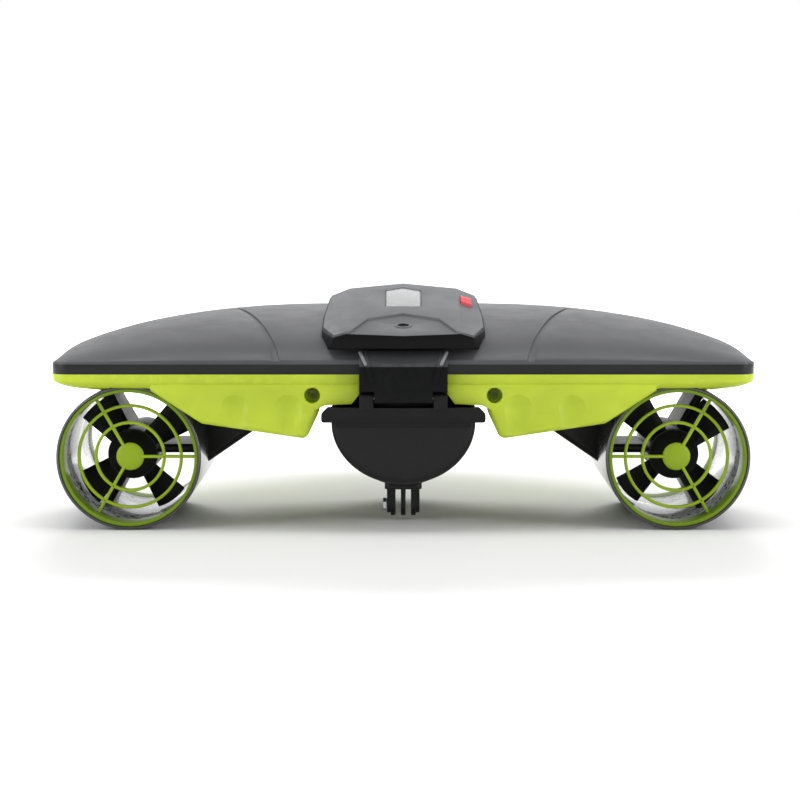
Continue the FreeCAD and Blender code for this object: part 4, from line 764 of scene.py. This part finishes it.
def add_guard(side, tree, material):
    """A guard with round bars in place of the frame's own."""
    sizes = bpy.context.scene.scooter_sizes
    node = side + "_outlet_guard"
    low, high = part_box(node)
    half_turn = 0.0 if side == "left" else math.pi
    place = Matrix.Translation(((low.x + high.x) / 2, low.y, (low.z + high.z) / 2))
    place = place @ Matrix.Rotation(math.pi / 2, 4, "X") @ Matrix.Rotation(half_turn, 4, "Z")
    guard = grown(side + "_guard", tree, {
        "Rim radius": (high.x - low.x) / 2,
        "Rim width": sizes.rim_width,
        "Rim depth": high.y - low.y,
        "Inner ring": sizes.inner_ring,
        "Outer ring": sizes.outer_ring,
        "Bar width": sizes.bar_width,
        "Bar depth": sizes.bar_depth,
        "Bar sink": -sizes.bar_sink,
        "Spokes": sizes.spokes,
        "Cap radius": sizes.cap_radius,
        "Cap depth": sizes.cap_dome,
        "Material": material,
    }, place)
    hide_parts(node)
    attach(guard, material, "frame")


def add_trigger_ribs(side, tree, material):
    """A row of ribs across the front of a trigger."""
    sizes = bpy.context.scene.scooter_sizes
    low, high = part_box(side + "_trigger")
    lowest = Matrix.Translation(((low.x + high.x) / 2, high.y - sizes.rib_sink, low.z + sizes.rib_rise))
    ribs = grown(side + "_trigger_ribs", tree, {
        "Count": sizes.ribs,
        "Spacing": sizes.rib_spacing,
        "Rib length": (high.x - low.x) * sizes.rib_share,
        "Rib radius": sizes.rib_radius,
        "Material": material,
    }, lowest @ Matrix.Rotation(sizes.trigger_slope, 4, "X"))
    attach(ribs, material, "trigger_" + side)


def add_latch_ridge(side, material):
    """A rounded ridge along one side of the latch's sloping top; its pale grey material is a painted
    highlight.
    """
    mirror = Matrix.Scale(-1 if side == "left" else 1, 4, (1, 0, 0))
    start, end = (mirror @ Vector(point) for point in millimetres(RIDGE_ENDS))
    nose = millimetres(RIDGE_NOSE)
    reach = (end - start).length
    profile = [(radius, -height) for radius, height in nose]
    profile += [(radius, reach + height) for radius, height in reversed(nose)]
    place = Matrix.Translation(start) @ (end - start).to_track_quat("Z", "Y").to_matrix().to_4x4()
    ridge = turned(side + "_latch_ridge", profile, place, closed=False, steps=20)
    attach(ridge, material, "latch")


def add_pod_hole(ring_finish, cup_finish):
    """A raised ring round the pod's hole and a dark cup inside it."""
    sizes = bpy.context.scene.scooter_sizes
    place = Matrix.Translation(sizes.hole_place) @ Matrix.Rotation(sizes.pod_tilt, 4, "X")
    inner, outer = sizes.hole, sizes.hole_ring
    ring = turned("pod_hole_ring", [
        (inner, -RING_SINK), (outer, -RING_SINK), (outer, RING_RISE - RING_SHOULDER_DROP),
        (outer - RING_SHOULDER_WIDTH, RING_RISE), (inner + RING_BEVEL, RING_RISE),
        (inner, RING_RISE - RING_BEVEL),
    ], place)
    attach(ring, ring_finish, "frame")
    cup = turned("pod_hole_cup", [
        (0.0, CUP_FLOOR), *millimetres(CUP_COLLAR), (inner - CUP_HALF_WALL, CUP_FLOOR),
        (inner - CUP_HALF_WALL, CUP_TOP), (inner + CUP_HALF_WALL, CUP_TOP),
        (inner + CUP_HALF_WALL, CUP_BOTTOM), (0.0, CUP_BOTTOM),
    ], place, closed=False)
    attach(cup, cup_finish, "frame")


def add_nut_collar(material):
    """A six-sided collar on the outer side of the camera nut."""
    low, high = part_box("camera_nut")
    place = Matrix.Translation((low.x, (low.y + high.y) / 2, (low.z + high.z) / 2))
    place = place @ Matrix.Rotation(math.pi / 2, 4, "Y")
    collar = turned("camera_nut_collar", millimetres(NUT_COLLAR), place, steps=6)
    attach(collar, material, "frame")


# Operators

def settings(context):
    """The colours and the sizes in use."""
    return context.scene.scooter_colours, context.scene.scooter_sizes


def duct_axis():
    """A duct's axis: its distance from the middle and its height."""
    low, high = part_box("right_duct")
    return (low.x + high.x) / 2, (low.z + high.z) / 2


class DressCover(bpy.types.Operator):
    """Charcoal satin finish of the crowned cover, painted paler as painted sheen above a band painted
    near-black as painted shade
    """

    bl_idname = "scooter.dress_cover"
    bl_label = "Cover"

    def execute(self, context):
        tones, sizes = settings(context)
        # Painted sheen and painted shade: the crown gets a paler charcoal than the plastic's own dark tone,
        # and the band below band_top a near-black.
        sheen_and_shade_charcoal = moulded_plastic(
            "Cover charcoal", tones.cover, rough=0.36, specular=0.26, wear=0.2,
            zone=lambda tree, place: above_height(tree, place, sizes.band_top), zone_colour=tones.band)
        dress(["top_cover"], sheen_and_shade_charcoal, sizes.edge)
        return {"FINISHED"}


class DressShells(bpy.types.Operator):
    """Lime green lower shells with their grips"""

    bl_idname = "scooter.dress_shells"
    bl_label = "Lower shells"

    def execute(self, context):
        tones, sizes = settings(context)
        lime = moulded_plastic("Lime moulding", tones.shell, rough=0.36, specular=0.35, wear=0.1,
                               relief=0.00015)
        dress(both("lower_shell"), lime, sizes.edge)
        return {"FINISHED"}


class DressDucts(bpy.types.Operator):
    """Dark shrouds with a speckled lining"""

    bl_idname = "scooter.dress_ducts"
    bl_label = "Ducts"

    def execute(self, context):
        tones, sizes = settings(context)
        shroud = duct_shroud("Duct shroud", tones.duct, tones.bore, duct_axis(), sizes.duct_bore)
        dress(both("duct"), shroud, sizes.edge)
        return {"FINISHED"}


class DressGuards(bpy.types.Operator):
    """Green guards on the ducts' rear ends and open rings on their front ends"""

    bl_idname = "scooter.dress_guards"
    bl_label = "Guards"

    def execute(self, context):
        tones, sizes = settings(context)
        centre = duct_axis()
        # The rim zone paints the guards' rims in deeper green as painted shade on their inner faces.
        green = moulded_plastic(
            "Guard green", tones.guard, rough=0.34, specular=0.25, wear=0.08, relief=0.00012,
            zone=lambda tree, place: within_rim(tree, place, centre, sizes.rim_inside),
            zone_colour=tones.shaded_guard_rim)
        dress(both("inlet_ring"), green, sizes.edge)
        tree = guard_tree()
        for side in SIDES:
            add_guard(side, tree, green)
        return {"FINISHED"}


class DressDrive(bpy.types.Operator):
    """Propellers, motor pods, shafts and what they hold"""

    bl_idname = "scooter.dress_drive"
    bl_label = "Drive"

    def execute(self, context):
        tones, sizes = settings(context)
        black = moulded_plastic("Drive black", tones.drive, rough=0.34, specular=0.25, wear=0.3,
                                relief=0.0001)
        dress(both("propeller") + both("spinner") + both("motor_pod"), black, sizes.fine_edge)
        steel = brushed_metal("Shaft steel", tones.steel, rough=0.22)
        dress(both("shaft") + both("bearings"), steel, sizes.fine_edge)
        dress(both("motor_stator") + both("motor_rotor"), wound_motor("Motor windings"), 0.0)
        return {"FINISHED"}


class DressHull(bpy.types.Operator):
    """Black centre hull with its arms, camera foot and inner plate"""

    bl_idname = "scooter.dress_hull"
    bl_label = "Hull"

    def execute(self, context):
        tones, sizes = settings(context)
        matt = moulded_plastic("Hull black", tones.hull, rough=0.42, specular=0.25, wear=0.35, relief=0.0003,
                               coarseness=1.3)
        dress(["centre_hull", "camera_foot"] + both("arm"), matt, sizes.edge)
        plate = moulded_plastic("Inner plate", tones.plate, rough=0.5, specular=0.4, wear=0.1)
        dress(["chassis_plate"], plate, sizes.fine_edge)
        dress(["main_board", "display_board"], circuit_board("Circuit board"), 0.0)
        return {"FINISHED"}


class DressBattery(bpy.types.Operator):
    """Battery with its cap, seal and latch, and the triggers in the latch's finish; the cap carries painted
    shade, the latch's top painted light and its ridges painted highlights
    """

    bl_idname = "scooter.dress_battery"
    bl_label = "Battery and triggers"

    def execute(self, context):
        tones, sizes = settings(context)
        # Painted shade: the cap is darker above cap_face and lighter on its face below, copying a shading
        # step.
        cap = moulded_plastic(
            "Cap black", tones.band, rough=0.42, specular=0.18, wear=0.3, relief=0.0003, coarseness=1.3,
            zone=lambda tree, place: above_height(tree, place, sizes.cap_face), zone_colour=tones.cap)
        dress(["battery_cap"], cap, sizes.edge)
        # Painted light: above latch_knee the latch and triggers take a lighter charcoal that stands for light
        # on the sloping top.
        latch = moulded_plastic(
            "Latch black", tones.lit_latch_top, rough=0.4, specular=0.07, wear=0.35,
            zone=lambda tree, place: above_height(tree, place, sizes.latch_knee), zone_colour=tones.hull)
        dress(["battery_latch"] + both("trigger"), latch, sizes.edge)
        # Painted highlight: the ridges' pale grey stands for glints on their edges.
        ridge = moulded_plastic("Latch ridge", tones.ridge, rough=0.3, specular=0.4, wear=0.3, relief=0.0001)
        tree = rib_tree()
        for side in SIDES:
            add_trigger_ribs(side, tree, latch)
            add_latch_ridge(side, ridge)
        dress(["battery_can"], brushed_metal("Battery case", tones.battery, rough=0.36), sizes.edge)
        rubber = moulded_plastic("Seal rubber", tones.seal, rough=0.72, specular=0.3, wear=0.1,
                                 relief=0.0003, coarseness=0.8)
        dress(["cap_seal"], rubber, 0.0)
        return {"FINISHED"}


class DressPod(bpy.types.Operator):
    """Control pod with its window, its hole and the red slider"""

    bl_idname = "scooter.dress_pod"
    bl_label = "Control pod"

    def execute(self, context):
        tones, sizes = settings(context)
        # Painted shade: the pod lip is near-black for the shade on its near-vertical faces; the hole's cup
        # takes the same material.
        lip = moulded_plastic("Pod lip black", tones.band, rough=0.36, specular=0.08, wear=0.2,
                              relief=0.0001)
        dress(["pod_base"], lip, sizes.edge)
        top = moulded_plastic("Pod grey", tones.pod, rough=0.42, specular=0.3, wear=0.3, relief=0.00015)
        dress(["pod_cover"], top, sizes.edge)
        window = frosted_window("Window grey", tones.window, sizes.pane_half)
        dress(["display_window"], window, sizes.fine_edge)
        add_pod_hole(top, lip)
        red = moulded_plastic("Slider red", tones.slider, rough=0.3, wear=0.05, relief=0.0001, coat=0.1)
        dress(["lock_slider"], red, sizes.fine_edge)
        return {"FINISHED"}


class DressFasteners(bpy.types.Operator):
    """Screws, pins and the camera nut"""

    bl_idname = "scooter.dress_fasteners"
    bl_label = "Fasteners"

    def execute(self, context):
        tones, sizes = settings(context)
        steel = brushed_metal("Fastener steel", tones.steel, rough=0.26)
        bright = ["cover_screws", "pod_screws", "camera_nut", "latch_pin"] + both("trigger_pin")
        dress(bright, steel, sizes.fine_edge)
        add_nut_collar(steel)
        # Painted shade: the grip screws are a darkened shell green, standing for the shade in their deep
        # wells.
        well_shade_olive = moulded_plastic("Screw olive", times(tones.shell, 0.3), rough=0.5, coarseness=1.2)
        dress(["grip_screws"], well_shade_olive, sizes.fine_edge)
        return {"FINISHED"}


# Stage

class SetStage(bpy.types.Operator):
    """Floor, backdrop, lights and camera"""

    bl_idname = "scooter.set_stage"
    bl_label = "Stage"

    def execute(self, context):
        stage = context.scene.scooter_stage
        add_floor()
        set_world(context.scene, stage.world)
        lamps = {name: area_light(name, getattr(stage, power), place, aim, size)
                 for name, power, place, aim, size in LAMPS}
        lamps["Back light"].visible_glossy = False
        lamps["Back light"].visible_camera = False
        context.scene.camera = add_camera(stage)
        context.scene.view_settings.view_transform = "Standard"
        return {"FINISHED"}


def add_floor():
    """A wide floor just under the scooter."""
    reach = FLOOR_REACH
    mesh = bpy.data.meshes.new("Floor")
    mesh.from_pydata([(-reach, -reach, 0), (reach, -reach, 0), (reach, reach, 0), (-reach, reach, 0)], [],
                     [(0, 1, 2, 3)])
    mesh.materials.append(floor_material())
    floor = bpy.data.objects.new("Floor", mesh)
    floor.location.z = -FLOOR_DROP
    bpy.context.collection.objects.link(floor)


def add_camera(stage):
    """The camera, looking at the scooter's rear side from a little above."""
    rear = CAD_BOX[0][1]
    aim = Vector((stage.aim_x, rear + stage.aim_y, stage.aim_z))
    back = Vector((0, -math.cos(stage.elevation), math.sin(stage.elevation)))
    data = bpy.data.cameras.new("Camera")
    data.lens = stage.lens
    data.sensor_width = SENSOR_WIDTH
    data.clip_start = 0.01
    camera = bpy.data.objects.new("Camera", data)
    camera.location = aim + stage.distance * back
    camera.rotation_euler = (-back).to_track_quat("-Z", "Y").to_euler()
    bpy.context.collection.objects.link(camera)
    return camera


def area_light(name, power, place, aim, size):
    """A rectangular softbox."""
    data = bpy.data.lights.new(name, "AREA")
    data.shape = "RECTANGLE"
    data.size, data.size_y = size
    data.energy = power
    light = bpy.data.objects.new(name, data)
    light.location = place
    light.rotation_euler = (Vector(aim) - Vector(place)).to_track_quat("-Z", "Y").to_euler()
    bpy.context.collection.objects.link(light)
    return light


def seen_directly(tree):
    """1 for rays from the camera, mirrors and glass."""
    path = tree.nodes.new("ShaderNodeLightPath").outputs
    seen = path["Is Camera Ray"]
    for kind in ("Is Glossy Ray", "Is Transmission Ray"):
        seen = calculate(tree, "MAXIMUM", seen, path[kind])
    return seen


def floor_material():
    """Pale floor that keeps the shadow and turns to plain white away from the scooter."""
    material, tree, shader = new_material("Pale floor")
    coordinates = object_coordinates(tree)
    tone = mix_colour(tree, clouds(tree, coordinates, 0.6, 2.0), *FLOOR_GREYS)
    tree.links.new(tone, shader.inputs["Base Color"])
    shader.inputs["Roughness"].default_value = 0.7
    shader.inputs["Specular IOR Level"].default_value = 0.1
    shader.inputs["Emission Color"].default_value = WHITE
    away = add(tree, "ShaderNodeVectorMath", {"operation": "LENGTH"})
    tree.links.new(coordinates, away.inputs[0])
    whiteness = ramp(tree, away.outputs["Value"], *FLOOR_FADE, 0.0, 1.0)
    glow = calculate(tree, "MULTIPLY", whiteness, seen_directly(tree))
    tree.links.new(glow, shader.inputs["Emission Strength"])
    return material


def set_world(scene, strength):
    """Plain pale world, white to the camera."""
    world = bpy.data.worlds.new("Pale world")
    scene.world = world
    world.use_nodes = True
    tree = world.node_tree
    tree.nodes.clear()
    output = tree.nodes.new("ShaderNodeOutputWorld")
    mixed = tree.nodes.new("ShaderNodeMixShader")
    tree.links.new(seen_directly(tree), mixed.inputs[0])
    for index, level in ((1, strength), (2, 1.0)):
        white = add(tree, "ShaderNodeBackground", Color=WHITE, Strength=level)
        tree.links.new(white.outputs["Background"], mixed.inputs[index])
    tree.links.new(mixed.outputs["Shader"], output.inputs["Surface"])


class ScooterPanel(bpy.types.Panel):
    """Lists the steps that dress the scooter"""

    bl_idname = "VIEW3D_PT_scooter"
    bl_label = "Scooter"
    bl_space_type = "VIEW_3D"
    bl_region_type = "UI"
    bl_category = "Scooter"

    def draw(self, context):
        for step in STEPS:
            self.layout.operator(step.bl_idname)
        for holder in GROUPS:
            group = getattr(context.scene, holder)
            box = self.layout.box()
            for name in group.bl_rna.properties.keys():
                if name not in ("rna_type", "name"):
                    box.prop(group, name)


STEPS = (
    DressCover,
    DressShells,
    DressDucts,
    DressGuards,
    DressDrive,
    DressHull,
    DressBattery,
    DressPod,
    DressFasteners,
    SetStage,
)
GROUPS = {
    "scooter_colours": ScooterColours,
    "scooter_sizes": ScooterSizes,
    "scooter_stage": ScooterStage,
}


def register():
    """Registers every class and hangs the settings on the scene."""
    for name, group in GROUPS.items():
        bpy.utils.register_class(group)
        setattr(bpy.types.Scene, name, bpy.props.PointerProperty(type=group))
    for step in STEPS + (ScooterPanel,):
        bpy.utils.register_class(step)


def unregister():
    """Undoes register."""
    for step in reversed(STEPS + (ScooterPanel,)):
        bpy.utils.unregister_class(step)
    for name, group in GROUPS.items():
        delattr(bpy.types.Scene, name)
        bpy.utils.unregister_class(group)


def main():
    """Dresses the scooter in order."""
    register()
    for step in STEPS:
        group, name = step.bl_idname.split(".")
        getattr(getattr(bpy.ops, group), name)()


if __name__ == "__main__":
    main()
